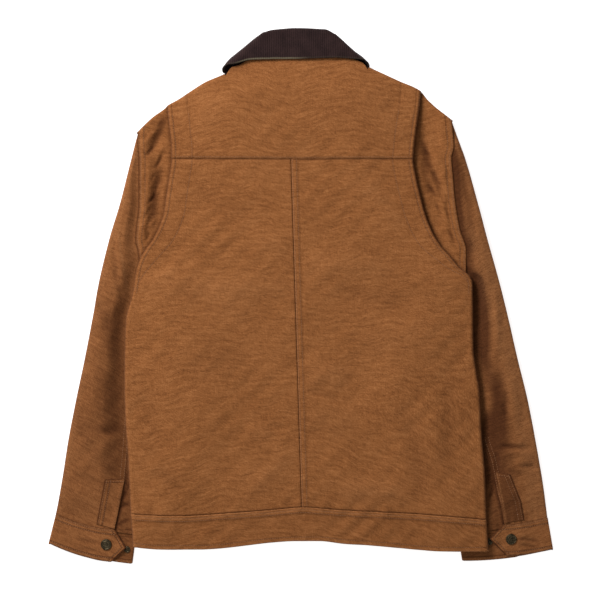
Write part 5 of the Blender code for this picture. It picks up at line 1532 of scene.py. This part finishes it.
def make_cuff(side):
    """One strip: the pointed tab and the upper side, the outer fold, the lower side, the inner
    fold, and the end under the tab."""
    cuff = CUFF[side]
    v = shares(CUFF_UP, 1.0, 7.0, 7.0, 0.7)
    corner = cuff["tab"][1][0]
    v = np.sort(np.append(v, corner))
    out_fold = lerp(np.array(cuff["outer"][0]), np.array(cuff["outer"][1]), v[:, None])
    in_fold = lerp(np.array(cuff["inner"][0]), np.array(cuff["inner"][1]), v[:, None])
    away = np.array([side, 0.0])
    out_radius = (CUFF_OUTER_LOW + CUFF_WALL) / 2
    in_radius = (UNDER_CUFF_LOW + CUFF_WALL) / 2
    start = cuff_point(cuff, v, np.zeros(len(v)))
    length = np.linalg.norm(out_fold - start, axis=1)
    end_share = 1 - out_radius / length
    columns = cuff_upper_side(side, v, length, end_share)
    plan = columns[-1][:, :2]
    upper_columns = len(columns) + 8
    high = CUFF_OUTER_LOW + CUFF_WALL
    columns += half_turn(plan, away, out_radius, high, 0.0, 10)
    other = in_fold + away * in_radius
    for s in shares(100.0, 5.0)[1:]:
        across = lerp(plan, other, s)
        across[:, 1] -= 4 * CUFF_LOW_BOW * s * (1 - s)
        columns.append(with_height(across, np.zeros(len(v))))
    high = UNDER_CUFF_LOW + CUFF_WALL
    columns += half_turn(other, -away, in_radius, 0.0, high, 8)
    reach = np.linalg.norm(plan - other, axis=1)
    for s in shares(cuff["underlap"], 2.0)[1:]:
        share = cuff["underlap"] * s / reach
        across = lerp(other, plan, share[:, None])
        across[:, 1] -= 4 * CUFF_LOW_BOW * share * (1 - share)
        columns.append(with_height(across, np.full(len(v), high)))
    sheet = np.stack(columns, axis=1)
    wear_and_painted_light, seams = cuff_marks(v, sheet, upper_columns)
    shell(f"cloth_cuff_{SIDE_NAME[side]}", sheet, SLEEVE_DUCK, flip=side > 0, thick=CUFF_CLOTH,
          seams=seams, cloth=sleeve_cloth(side, sheet) + (0.0, 400.0), wear_and_painted_light=wear_and_painted_light)


def spline(points, steps):
    """Points on a smooth curve through points, steps to each span."""
    points = np.asarray(points, float)
    before = 2 * points[:1] - points[1:2]
    after = 2 * points[-1:] - points[-2:-1]
    padded = np.concatenate([before, points, after])
    pieces = []
    for k in range(1, len(padded) - 2):
        a, b, c, d = padded[k - 1], padded[k], padded[k + 1], padded[k + 2]
        for t in np.arange(steps) / steps:
            pieces.append(0.5 * (
                2 * b + (c - a) * t + (2 * a - 5 * b + 4 * c - d) * t**2
                + (3 * b - a - 3 * c + d) * t**3
            ))
    return np.stack(pieces + [points[-1]])


# The collar --------------------------------------------------------------------------------------

def collar_stations():
    """Sections round the collar from the left opening to the right one: plan points on the roll,
    on the fall's edge and on the neck seam, the side, the turn and the sag."""
    stations = []
    for side, table in ((-1, COLLAR_FRONT_LEFT), (1, COLLAR_FRONT_RIGHT)):
        columns = np.linspace(NECK[side] + FLAP_SHIFT[side][0], -side * LAP_HALF, 5)
        group = []
        for row, neck_x in zip(table[:0:-1], columns[-2::-1]):
            neck = (neck_x - side * NECK_GAP, float(front_top(side, neck_x)) + SEAM_GAP)
            group.append([row[:2], row[2:], neck, math.pi, 0.0])
        roll = np.array(COLLAR_SIDE_ROLL[side])
        way = np.array(table[0][2:]) - roll
        way /= np.linalg.norm(way)
        for k, distance in enumerate(COLLAR_SIDE_EDGE[side][::-1]):
            turned = math.pi * (1 - k / 4)
            group.append([roll, roll + way * distance, COLLAR_NECK_FOLD[side], turned, 0.0])
        stations.append(group)
    left, right = stations
    back = []
    roll, edge = through(COLLAR_ROLL), through(COLLAR_EDGE)
    for share in np.linspace(0, 1, 11)[1:-1]:
        roll_x = lerp(left[-1][0][0], right[-1][0][0], share)
        edge_x = lerp(left[-1][1][0], right[-1][1][0], share)
        neck_x = lerp(COLLAR_NECK_FOLD[-1][0], COLLAR_NECK_FOLD[1][0], share)
        back.append([
            (roll_x, float(roll(roll_x))), (edge_x, float(edge(edge_x))),
            (neck_x, float(TOP(neck_x)) + NECK_GAP), 0.0, COLLAR_SAG * 4 * share * (1 - share),
        ])
    rows = []
    for side, group in ((-1, left), (0, back), (1, right[::-1])):
        for roll_at, edge_at, neck_at, turned, sag in group:
            places = [np.array(place) for place in (roll_at, edge_at, neck_at)]
            rows.append((*places, side, turned, sag))
    return rows


def collar_sheet(stations, angles, to_fall, steps):
    """Sections from the collar's roll to the fall's edge or to the neck seam."""
    curl, middle = (FALL_REACH - STAND_REACH) / 2, (FALL_REACH + STAND_REACH) / 2
    sheet = []
    for roll, edge, neck, side, turned, sag in stations:
        end = edge if to_fall else neck
        along = (end - roll) / np.linalg.norm(end - roll)
        line = [(roll + along * curl * (1 - math.sin(a)), middle + curl * math.cos(a))
                for a in angles]
        for k in range(1, steps + 1):
            line.append((lerp(roll + along * curl, end, k / steps), line[len(angles) - 1][1]))
        section = []
        for plan, reach in line:
            out = np.zeros(2)
            if side:
                way = (edge - roll) / np.linalg.norm(edge - roll)
                down = float((plan - roll) @ way)
                normal = np.array([side * abs(way[1]), abs(way[0])])
                stand_out = np.interp(down, *np.array(COLLAR_SIDE_OUT[side]).T)
                out = normal * stand_out * reach / FALL_REACH * math.sin(turned)
            section.append((*(plan + out), COLLAR_MID + reach * math.cos(turned) - sag))
        sheet.append(section)
    return np.array(sheet)


def fine_collar(sheet, along, across):
    """The sections joined smoothly, along the collar and down each section."""
    return spline(spline(sheet, along).swapaxes(0, 1), across).swapaxes(0, 1)


def make_collar():
    stations = collar_stations()
    quarter = math.pi / 2
    falls = [quarter * share for share in (0.95, 0.72, 0.48, 0.24, 0.0)]
    sheet = fine_collar(collar_sheet(stations, falls, True, 5), 9, 4)
    x, y, z = sheet[..., 0], sheet[..., 1], sheet[..., 2]
    on_back = smooth((z - COLLAR_MID - 2.0) / 4.0)
    down = np.linspace(0, 1, sheet.shape[1])[None, :] * np.ones((sheet.shape[0], 1))
    loose = smooth((down - 0.35) / 0.5) * on_back
    wave = 0.5 * np.sin(x / 17.0) + 0.35 * np.sin(x / 7.3 + 1.0)
    lift = 1.0 * on_back * smooth(down / 0.3) + wave * loose * 0.6
    roll = -0.7 * smooth((down - 0.86) / 0.14) * on_back
    sheet[..., 2] += lift + roll + 0.12 * RIPPLES(1.4 * x, 1.4 * y) * on_back
    pale = smooth((x + 96.0) / 16.0) * (1 - smooth((x + 14.0) / 30.0)) * on_back
    wear_and_painted_light = lerp(0.12, 1.0, pale) * smooth((down - 0.975) / 0.025)
    cloth = np.stack([x, y], axis=-1)
    shell("cloth_collar_fall", sheet, COLLAR, flip=True, thick=COLLAR_CLOTH, cloth=cloth,
          wear_and_painted_light=wear_and_painted_light)
    stands = [quarter * share for share in (1.05, 1.28, 1.52, 1.76, 2.0)]
    sheet = fine_collar(collar_sheet(stations, stands, False, 4), 8, 3)
    shell("cloth_collar_stand", sheet, COLLAR, thick=COLLAR_CLOTH,
          cloth=sheet[..., :2] + (400.0, 0.0))


# Snaps -------------------------------------------------------------------------------------------

def lathe(name, centre, bottom, profile, material, sides=64):
    """A turned piece: profile gives radius and height above its bottom, up the side and inwards."""
    angles = np.linspace(0, 2 * math.pi, sides, endpoint=False)
    points = [
        (centre[0] + radius * math.cos(a), centre[1] + radius * math.sin(a), bottom + height)
        for radius, height in profile for a in angles
    ]
    points += [(*centre, bottom + profile[0][1]), (*centre, bottom + profile[-1][1])]
    low, high = len(points) - 2, len(points) - 1
    faces = []
    for k in range(sides):
        after = (k + 1) % sides
        faces.append((low, after, k, k))
        for ring in range(len(profile) - 1):
            a, b = ring * sides, (ring + 1) * sides
            faces.append((a + k, a + after, b + after, b + k))
        last = (len(profile) - 1) * sides
        faces.append((last + k, last + after, high, high))
    quads = [face for face in faces if len(set(face)) == 4]
    fans = [tuple(dict.fromkeys(face)) for face in faces if len(set(face)) == 3]
    mesh = bpy.data.meshes.new(name)
    moved = (np.array(points) + (SHIFT_X, 0.0, 0.0)) * MM
    mesh.from_pydata(moved.tolist(), [], quads + fans)
    mesh.update()
    mesh.shade_smooth()
    return put_in_scene(name, mesh, material)


CAP_PROFILE = [
    (6.6, 0.0), (7.3, 0.2), (7.7, 0.7), (7.7, 1.15), (7.45, 1.6), (6.95, 1.85), (6.45, 1.8),
    (6.1, 1.5), (5.8, 1.42), (5.45, 1.5), (5.15, 1.78), (4.8, 1.86), (4.45, 1.8), (4.1, 1.62),
    (3.6, 1.64), (2.9, 1.78), (2.1, 1.96), (1.2, 2.08), (0.4, 2.12),
]
STUD_PROFILE = [
    (3.9, 0.0), (4.4, 0.15), (4.6, 0.5), (4.55, 1.0), (4.2, 1.4), (3.7, 1.5), (3.2, 1.3),
    (2.9, 0.9), (2.4, 0.8), (2.1, 1.2), (1.7, 1.7), (1.1, 1.9), (0.4, 1.95),
]


def make_snaps(side):
    cuff, name = CUFF[side], SIDE_NAME[side]
    seat = float(tab_low(side, np.array([cuff["snap"]]))[0]) + CUFF_WALL + SNAP_SEAT - 0.2
    lathe(f"snap_cap_dome_{name}", cuff["snap"], seat, CAP_PROFILE, BRASS)
    seat = UNDER_CUFF_LOW + CUFF_WALL + SEAM_GAP
    lathe(f"snap_stud_ring_{name}", cuff["stud"], seat, STUD_PROFILE, BRASS)


# Stitches ----------------------------------------------------------------------------------------

STITCH_PITCH = 3.3
STITCH_LENGTH = 2.5
THREAD = 0.34
DIRECTIONS = 5
# A stitch's rings: share of its length, height above the cloth, share of the thread's thickness
STITCH_RINGS = ((-0.5, -0.28, 0.5), (-0.3, 0.1, 1.0), (0.3, 0.1, 1.0), (0.5, -0.28, 0.5))


def resample(line, pitch):
    """Points at even steps along a plan line, and its direction there."""
    line = np.asarray(line, float)
    run = np.concatenate(([0.0], np.cumsum(np.linalg.norm(np.diff(line, axis=0), axis=1))))
    place = np.arange(pitch / 2, run[-1], pitch)

    def at(where):
        return np.stack([np.interp(where, run, line[:, k]) for k in (0, 1)], axis=1)

    way = at(place + 0.5) - at(place - 0.5)
    return at(place), way / np.maximum(np.linalg.norm(way, axis=1), 1e-9)[:, None]


def make_stitches(name, rows, thread, below=False):
    """Threads laid along plan lines on finished cloths: rows of (cloth name, line)."""
    centres, ways, normals = [], [], []
    trees = {}
    for cloth, line in rows:
        if cloth not in trees:
            mesh = bpy.data.objects[cloth].data
            trees[cloth] = BVHTree.FromPolygons(
                [corner.co for corner in mesh.vertices], [face.vertices for face in mesh.polygons]
            )
        points, way = resample(line, STITCH_PITCH)
        for (x, y), (dx, dy) in zip(points, way):
            start = Vector(((x + SHIFT_X) * MM, y * MM, -0.05 if below else 0.08))
            hit = trees[cloth].ray_cast(start, Vector((0, 0, 1.0 if below else -1.0)))
            if hit[0] is None:
                continue
            normal = hit[1] if hit[1].z * (-1 if below else 1) > 0 else -hit[1]
            along = Vector((dx, dy, 0.0))
            along = (along - normal * along.dot(normal)).normalized()
            centres.append(hit[0])
            ways.append(along)
            normals.append(normal)
    centres, ways, normals = (np.array(group) for group in (centres, ways, normals))
    centres = centres / MM - (SHIFT_X, 0.0, 0.0)
    across = np.cross(normals, ways)
    rings = []
    for share, rise, size in STITCH_RINGS:
        middle = centres + ways * STITCH_LENGTH * share + normals * rise
        for k in range(DIRECTIONS):
            angle = 2 * math.pi * k / DIRECTIONS
            side = across * math.cos(angle) + normals * math.sin(angle) * 0.8
            rings.append(middle + side * THREAD * size)
    points = np.stack(rings, axis=1)
    count, per = points.shape[:2]
    faces = []
    for ring in range(len(STITCH_RINGS) - 1):
        for k in range(DIRECTIONS):
            after = (k + 1) % DIRECTIONS
            a, b = ring * DIRECTIONS, (ring + 1) * DIRECTIONS
            faces.append((a + k, b + k, b + after, a + after))
    faces = np.array(faces)[None] + (np.arange(count) * per)[:, None, None]
    return mesh_piece(name, points.reshape(-1, 3), faces.reshape(-1, 4), thread)


def edge_line(side, distance, y0, y1):
    """A line down the back at a distance, a number or a function of y, inside its edge."""
    y = np.linspace(y0, y1, 200)
    inside = distance(y) if callable(distance) else distance
    return np.stack([EDGE[side](y) - side * inside, y], axis=1)


def seam_line(line, offset, x0, x1):
    x = np.linspace(x0, x1, 160)
    return np.stack([x, line(x) + offset], axis=1)


def stitch_back():
    rows = []
    for side in (-1, 1):
        cloth = f"cloth_back_{SIDE_NAME[side]}"
        rows.append((cloth, edge_line(side, PLEAT_STITCH, 4.0, 194.0)))
        rows.append((cloth, edge_line(side, facing_distance, 8.0, 193.0)))
        rows.append(("cloth_back_yoke", edge_line(side, PLEAT_STITCH, 198.0, 258.0)))
        rows.append(("cloth_back_yoke", edge_line(side, FACING_STITCH, 198.0, 262.0)))
    y = np.linspace(-297.0, 193.0, 200)
    for offset in CENTRE_ROWS:
        rows.append(("cloth_back_right", np.stack([CENTRE(y) + offset, y], axis=1)))
    yoke_ends = float(EDGE[-1](197.0)) + 8.0, float(EDGE[1](197.0)) - 8.0
    rows.append(("cloth_back_yoke", seam_line(YOKE, YOKE_ROW, *yoke_ends)))
    hem_ends = float(EDGE[-1](-312.0)) + 6.0, float(EDGE[1](-316.0)) - 6.0
    for offset in HEM_ROWS:
        rows.append(("cloth_band_back", seam_line(HEM, -offset, *hem_ends)))
    rows.append(("cloth_band_back", seam_line(HEM_LOW, HEM_EDGE_ROW, *hem_ends)))
    return make_stitches("stitches_back", rows, THREAD_TAN)


def stitch_sleeves():
    rows = []
    for side in (-1, 1):
        name = SIDE_NAME[side]
        foot, head = GUSSET_FOOT[side] + 4.0, 244.0
        y = np.linspace(foot, head, 120)
        for inside in GUSSET_ROWS:
            line = np.stack([GUSSET[side](y) - side * inside, y], axis=1)
            rows.append((f"cloth_gusset_{name}", line))
        y = np.linspace(-318.0, -200.0 if side > 0 else 20.0, 200)
        for outside in HINDARM_ROWS:
            line = np.stack([HINDARM[side](y) + side * outside, y], axis=1)
            rows.append((f"cloth_sleeve_upper_{name}", line))
        table = np.array(PLACKET[side], float)
        for inside in PLACKET_ROWS:
            line = table[:, 2:] - (side * inside, 0.0)
            rows.append((f"cloth_placket_{name}", line))
        top = np.array([table[0, :2], table[0, 2:]]) - (0.0, PLACKET_END_ROW)
        rows.append((f"cloth_placket_{name}", top))
        rows += cuff_rows(side)
    return make_stitches("stitches_sleeves", rows, THREAD_TAN)


def cuff_rows(side):
    cuff, cloth = CUFF[side], f"cloth_cuff_{SIDE_NAME[side]}"
    shares_along = np.linspace(0.0, 1.0, 60)
    rows = []
    for down in (*CUFF_ROWS, CUFF_DOWN - CUFF_LOW_ROW):
        v = np.full(60, down / CUFF_DOWN)
        line = cuff_point(cuff, v, lerp(0.04, 0.975, shares_along))
        rows.append((cloth, line))
    v = np.linspace(0.08, 0.92, 60)
    start = cuff_point(cuff, v, np.zeros(60))
    end = cuff_point(cuff, v, np.ones(60))
    way = (end - start) / np.linalg.norm(end - start, axis=1)[:, None]
    rows.append((cloth, start + way * CUFF_TAB_ROW))
    return rows


def stitch_front():
    rows = []
    for side in (-1, 1):
        name = SIDE_NAME[side]
        for inside in FRONT_ROWS:
            x = -side * (LAP_HALF - inside)
            y = np.linspace(-297.0, 250.0, 120)
            rows.append((f"cloth_front_{name}", np.stack([np.full(120, x), y], axis=1)))
        ends = sorted((-side * (LAP_HALF - 2.0), float(EDGE[side](-310.0)) - side * 7.0))
        for offset in HEM_ROWS:
            rows.append((f"cloth_band_front_{name}", seam_line(HEM, -offset, *ends)))
        rows.append((f"cloth_band_front_{name}", seam_line(HEM_LOW, HEM_EDGE_ROW, *ends)))
    return make_stitches("stitches_front", rows, THREAD_TAN, below=True)


# Finishes ----------------------------------------------------------------------------------------

def new_material(name):
    """A new material, a maker of its nodes and a setter of its Principled shader's inputs."""
    material = bpy.data.materials.new(name)
    material.use_nodes = True
    tree = material.node_tree
    shader = tree.nodes["Principled BSDF"]

    def fill(made, inputs):
        for key, value in inputs.items():
            if isinstance(value, bpy.types.NodeSocket):
                tree.links.new(value, made.inputs[key])
            else:
                made.inputs[key].default_value = value

    def node(kind, inputs=None, **settings):
        made = tree.nodes.new(kind)
        for key, value in settings.items():
            setattr(made, key, value)
        fill(made, inputs or {})
        return made

    def shade_with(inputs):
        fill(shader, inputs)

    return material, node, shade_with


def ramp(node, factor, stops):
    made = node("ShaderNodeValToRGB", {"Fac": factor})
    points = made.color_ramp.elements
    while len(points) < len(stops):
        points.new(0.5)
    for point, (place, colour) in zip(points, stops):
        point.position = place
        point.color = (*colour, 1.0)
    return made.outputs["Color"]


def stretched_noise(node, cloth, across, along, detail=2.0, rough=0.5, shift=0.0):
    """Noise in the weave's own directions: so many spots to a metre across and along."""
    placed = node("ShaderNodeMapping", {
        "Vector": cloth, "Scale": (across, along, 1.0), "Location": (shift, 0.7 * shift, shift),
    })
    made = node("ShaderNodeTexNoise", {
        "Vector": placed.outputs["Vector"], "Scale": 1.0, "Detail": detail, "Roughness": rough,
    })
    return made.outputs["Fac"]


def weighted(node, parts):
    """The sum of sockets, each times its weight."""
    total = None
    for socket, weight in parts:
        inputs = {0: socket, 1: weight, 2: 0.0 if total is None else total}
        total = node("ShaderNodeMath", inputs, operation="MULTIPLY_ADD").outputs[0]
    return total


def attribute(node, name):
    return node("ShaderNodeAttribute", attribute_name=name).outputs["Fac"]


def product(node, first, second):
    return node("ShaderNodeMath", {0: first, 1: second}, operation="MULTIPLY").outputs[0]


def ribs(node, along, pitch):
    """A wave of this pitch, in metres."""
    turned = product(node, along, 2 * math.pi / pitch)
    return node("ShaderNodeMath", {0: turned}, operation="SINE").outputs[0]


def mixed(node, share, under, over, blend="MIX"):
    inputs = {"Fac": share, "Color1": under, "Color2": (*over, 1.0)}
    return node("ShaderNodeMixRGB", inputs, blend_type=blend).outputs[0]


def between(node, value, low, high):
    inputs = {"Value": value, "To Min": low, "To Max": high}
    return node("ShaderNodeMapRange", inputs).outputs["Result"]


def bumps(node, height, strength, distance):
    inputs = {"Height": height, "Strength": strength, "Distance": distance}
    return node("ShaderNodeBump", inputs).outputs["Normal"]


def object_noise(node, scale, detail):
    place = node("ShaderNodeTexCoord").outputs["Object"]
    inputs = {"Vector": place, "Scale": scale, "Detail": detail}
    return node("ShaderNodeTexNoise", inputs).outputs["Fac"]


WARP_PITCH, WEFT_PITCH, WALE_PITCH = 0.00105, 0.0013, 0.0026  # metres
TWILL_TURN = 0.62  # how the fine ribs lie across the weft, in radians
DEEP_SHADE = (0.22, 0.172, 0.175)  # what is left of the cloth's colour in a deep seam, and under full painted shade


def make_duck(name, dark, middle, light, worn, shift):
    """Firm cotton duck: slubby weft streaks, a fine weave, a slow mottle, rubbed edges with some
    painted highlights, and dark seams with painted shade.
    """
    material, node, shade_with = new_material(name)
    cloth = node("ShaderNodeUVMap", uv_map="cloth").outputs["UV"]
    slubs = stretched_noise(node, cloth, 34.0, 235.0, 3.0, 0.55, shift)
    streaks = stretched_noise(node, cloth, 150.0, 620.0, 2.0, 0.5, shift + 3)
    warp = stretched_noise(node, cloth, 620.0, 90.0, 1.0, 0.5, shift + 5)
    grain = stretched_noise(node, cloth, 900.0, 900.0, 2.0, 0.6, shift + 7)
    mottle = stretched_noise(node, cloth, 11.0, 16.0, 2.0, 0.5, shift + 9)
    turned = node("ShaderNodeMapping", {"Vector": cloth, "Rotation": (0.0, 0.0, TWILL_TURN)})
    twill = stretched_noise(node, turned.outputs["Vector"], 130.0, 620.0, 2.0, 0.5, shift + 11)
    tone = weighted(node, [
        (slubs, 0.25), (streaks, 0.19), (warp, 0.1), (grain, 0.4), (mottle, 0.08), (twill, 0.17),
    ])
    colour = ramp(node, tone, [(0.487, dark), (0.592, middle), (0.698, light)])
    patchy = node("ShaderNodeMapRange", {
        "Value": weighted(node, [(grain, 0.6), (streaks, 0.5)]), "From Min": 0.42, "From Max": 0.66,
    }).outputs["Result"]
    # lighter where rubbed and where a highlight is painted
    rubbed = product(node, attribute(node, "wear_and_painted_light"), patchy)
    # darker at seams and rows and where shade is painted
    shaded = mixed(node, attribute(node, "seams"), colour, DEEP_SHADE, "MULTIPLY")
    split = node("ShaderNodeSeparateXYZ", {"Vector": cloth})
    weave = product(
        node, ribs(node, split.outputs["X"], WARP_PITCH), ribs(node, split.outputs["Y"], WEFT_PITCH)
    )
    height = weighted(node, [
        (slubs, 0.7), (streaks, 0.45), (warp, 0.3), (grain, 0.7), (weave, 0.1), (twill, 0.45),
    ])
    shade_with({
        "Base Color": mixed(node, rubbed, shaded, worn),
        "Normal": bumps(node, height, 1.0, 0.0006),
        "Roughness": between(node, grain, 0.84, 0.97),
        "Sheen Weight": 0.03, "Sheen Roughness": 0.5, "Specular IOR Level": 0.08,
    })
    return material


def make_corduroy(name, dark, light, rim):
    """The collar's dark cloth, with fine upright wales and lint."""
    material, node, shade_with = new_material(name)
    cloth = node("ShaderNodeUVMap", uv_map="cloth").outputs["UV"]
    split = node("ShaderNodeSeparateXYZ", {"Vector": cloth})
    wander = stretched_noise(node, cloth, 40.0, 14.0, 1.0)
    bent = node("ShaderNodeMath", {0: wander, 1: 0.003, 2: split.outputs["X"]},
                operation="MULTIPLY_ADD").outputs[0]
    wales = ribs(node, bent, WALE_PITCH)
    fuzz = stretched_noise(node, cloth, 900.0, 420.0, 2.0, 0.6)
    patches = stretched_noise(node, cloth, 60.0, 45.0, 2.0, 0.5, 4.0)
    tone = weighted(node, [(wales, 0.09), (fuzz, 0.55), (patches, 0.45)])
    colour = ramp(node, tone, [(0.36, dark), (0.66, light)])
    height = weighted(node, [(wales, 0.5), (fuzz, 1.0)])
    shade_with({
        "Base Color": mixed(node, attribute(node, "wear_and_painted_light"), colour, rim),
        "Normal": bumps(node, height, 0.7, 0.0004),
        "Roughness": between(node, fuzz, 0.82, 0.98),
        "Sheen Weight": 0.12, "Sheen Roughness": 0.4, "Specular IOR Level": 0.15,
    })
    return material


def make_brass():
    """Antique brass: patches of dark patina and bare metal, at random."""
    material, node, shade_with = new_material("antique_brass")
    patina = object_noise(node, 900.0, 3.0)
    colour = ramp(node, patina, [
        (0.3, (0.02, 0.015, 0.009)), (0.55, (0.075, 0.056, 0.03)), (0.78, (0.22, 0.17, 0.09)),
    ])
    shade_with({
        "Base Color": colour,
        "Metallic": 0.9,
        "Roughness": between(node, patina, 0.28, 0.55),
        "Normal": bumps(node, patina, 0.35, 0.0001),
    })
    return material


def make_thread(name, dark, light):
    material, node, shade_with = new_material(name)
    twist = object_noise(node, 1600.0, 1.0)
    shade_with({
        "Base Color": ramp(node, twist, [(0.35, dark), (0.65, light)]),
        "Normal": bumps(node, twist, 0.4, 0.0001),
        "Roughness": 0.7,
    })
    return material


DUCK = make_duck("duck", (0.19, 0.067, 0.02), (0.3, 0.112, 0.034), (0.43, 0.175, 0.06),
                 (0.5, 0.22, 0.085), 0.0)
# a darker copy of the body's duck: painted shade over the sleeves, plackets and cuffs
SLEEVE_DUCK = make_duck("duck_sleeve", (0.175, 0.062, 0.02), (0.275, 0.104, 0.034),
                        (0.385, 0.157, 0.055), (0.48, 0.215, 0.084), 21.0)
COLLAR = make_corduroy("collar_cloth", (0.016, 0.008, 0.008), (0.041, 0.021, 0.02),
                       (0.17, 0.145, 0.095))
BRASS = make_brass()
THREAD_TAN = make_thread("thread", (0.22, 0.09, 0.034), (0.4, 0.19, 0.08))


# Camera, lights and floor ------------------------------------------------------------------------

def aim(thing, target):
    way = Vector(target) - thing.location
    thing.rotation_euler = way.to_track_quat("-Z", "Y").to_euler()


CAMERA_PLACE = (-0.0014, -0.005, 2.02)  # metres, straight above the jacket
LENS, SENSOR = 85.0, 36.0  # millimetres
# Soft lights: name, place, target and size in metres, power in watts, tint
LIGHTS = (
    ("key", (-1.27, 1.48, 1.52), (0.03, -0.03, 0.0), 0.98, 58.0, (1.0, 0.962, 0.95)),
    ("fill", (-0.5, -1.2, 1.3), (0.0, -0.1, 0.0), 1.2, 4.5, (1.0, 0.99, 0.98)),
)
WORLD_STRENGTH = 0.24
FLOOR_REACH, FLOOR_LOW = 4.0, -0.0004  # metres
FLOOR_GLOW = 0.8


def make_studio():
    scene = bpy.context.scene
    lens = bpy.data.cameras.new("camera")
    lens.lens = LENS
    lens.sensor_width = SENSOR
    lens.clip_start = 0.05
    camera = bpy.data.objects.new("camera", lens)
    camera.location = CAMERA_PLACE
    scene.collection.objects.link(camera)
    scene.camera = camera
    for name, place, target, size, power, tint in LIGHTS:
        lamp = bpy.data.lights.new(name, "AREA")
        lamp.shape = "DISK"
        lamp.size = size
        lamp.energy = power
        lamp.color = tint
        light = bpy.data.objects.new(name, lamp)
        light.location = place
        aim(light, target)
        scene.collection.objects.link(light)
    world = bpy.data.worlds.new("studio")
    world.use_nodes = True
    background = world.node_tree.nodes["Background"]
    background.inputs["Color"].default_value = (1.0, 1.0, 1.0, 1.0)
    background.inputs["Strength"].default_value = WORLD_STRENGTH
    scene.world = world
    scene.view_settings.view_transform = "Standard"
    material, node, shade_with = new_material("floor")
    spots = node("ShaderNodeTexNoise", {"Scale": 40.0, "Detail": 2.0}).outputs["Fac"]
    pale = ramp(node, spots, [(0.0, (0.7, 0.7, 0.7)), (1.0, (0.74, 0.74, 0.74))])
    shade_with({
        "Base Color": pale, "Roughness": 0.9, "Specular IOR Level": 0.0,
        "Emission Color": (1.0, 1.0, 1.0, 1.0), "Emission Strength": FLOOR_GLOW,
    })
    mesh = bpy.data.meshes.new("floor")
    reach, low = FLOOR_REACH, FLOOR_LOW
    mesh.from_pydata(
        [(-reach, -reach, low), (reach, -reach, low), (reach, reach, low), (-reach, reach, low)],
        [], [(0, 1, 2, 3)],
    )
    floor = put_in_scene("floor", mesh, material)


# The whole ---------------------------------------------------------------------------------------

make_studio()
make_back()
make_band()
make_yoke()
make_collar()
for side in (-1, 1):
    make_gusset(side)
    make_front(side)
    make_sleeve(side)
    make_placket(side)
    make_cuff(side)
    make_snaps(side)
stitches = [stitch_back(), stitch_sleeves(), stitch_front()]

STANDS_FOR = {
    "cloth_back_left": "back_left", "cloth_back_right": "back_right",
    "cloth_back_yoke": "back_yoke", "cloth_band_back": "band_back",
    "cloth_collar_fall": "collar_fall", "cloth_collar_stand": "collar_stand",
}
for name in ("left", "right"):
    for cloth, node_name in (
        ("gusset", "gusset"), ("front", "front"), ("band_front", "band_front"),
        ("sleeve_upper", "sleeve_upper"), ("sleeve_under", "sleeve_under"),
        ("placket", "sleeve_placket"), ("cuff", "cuff"),
    ):
        STANDS_FOR[f"cloth_{cloth}_{name}"] = f"{node_name}_{name}"


def sheet_size(sheet, cells):
    """The flat width, length and area of a grid of points, in metres, less its open cells."""
    across = np.linalg.norm(np.diff(sheet, axis=1), axis=-1).sum(axis=1).max()
    along = np.linalg.norm(np.diff(sheet, axis=0), axis=-1).sum(axis=0).max()
    a, b, c, d = sheet[:-1, :-1], sheet[:-1, 1:], sheet[1:, 1:], sheet[1:, :-1]
    area = 0.5 * np.linalg.norm(np.cross(c - a, d - b), axis=-1)[cells].sum()
    return across * MM, along * MM, area * MM * MM


for name, node_name in STANDS_FOR.items():
    piece = bpy.data.objects[name]
    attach(piece, "root")
    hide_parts(node_name)
    width, length, area = sheet_size(*SHEETS[name])
    round(min(area, width * length * 0.999), 4)
for name in ("left", "right"):
    for kind, node_name in (("snap_cap_dome", "snap_cap"), ("snap_stud_ring", "snap_stud")):
        piece = bpy.data.objects[f"{kind}_{name}"]
        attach(piece, "root")
        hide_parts(f"{node_name}_{name}")
for piece in stitches:
    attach(piece, "root")

bpy.context.view_layer.update()
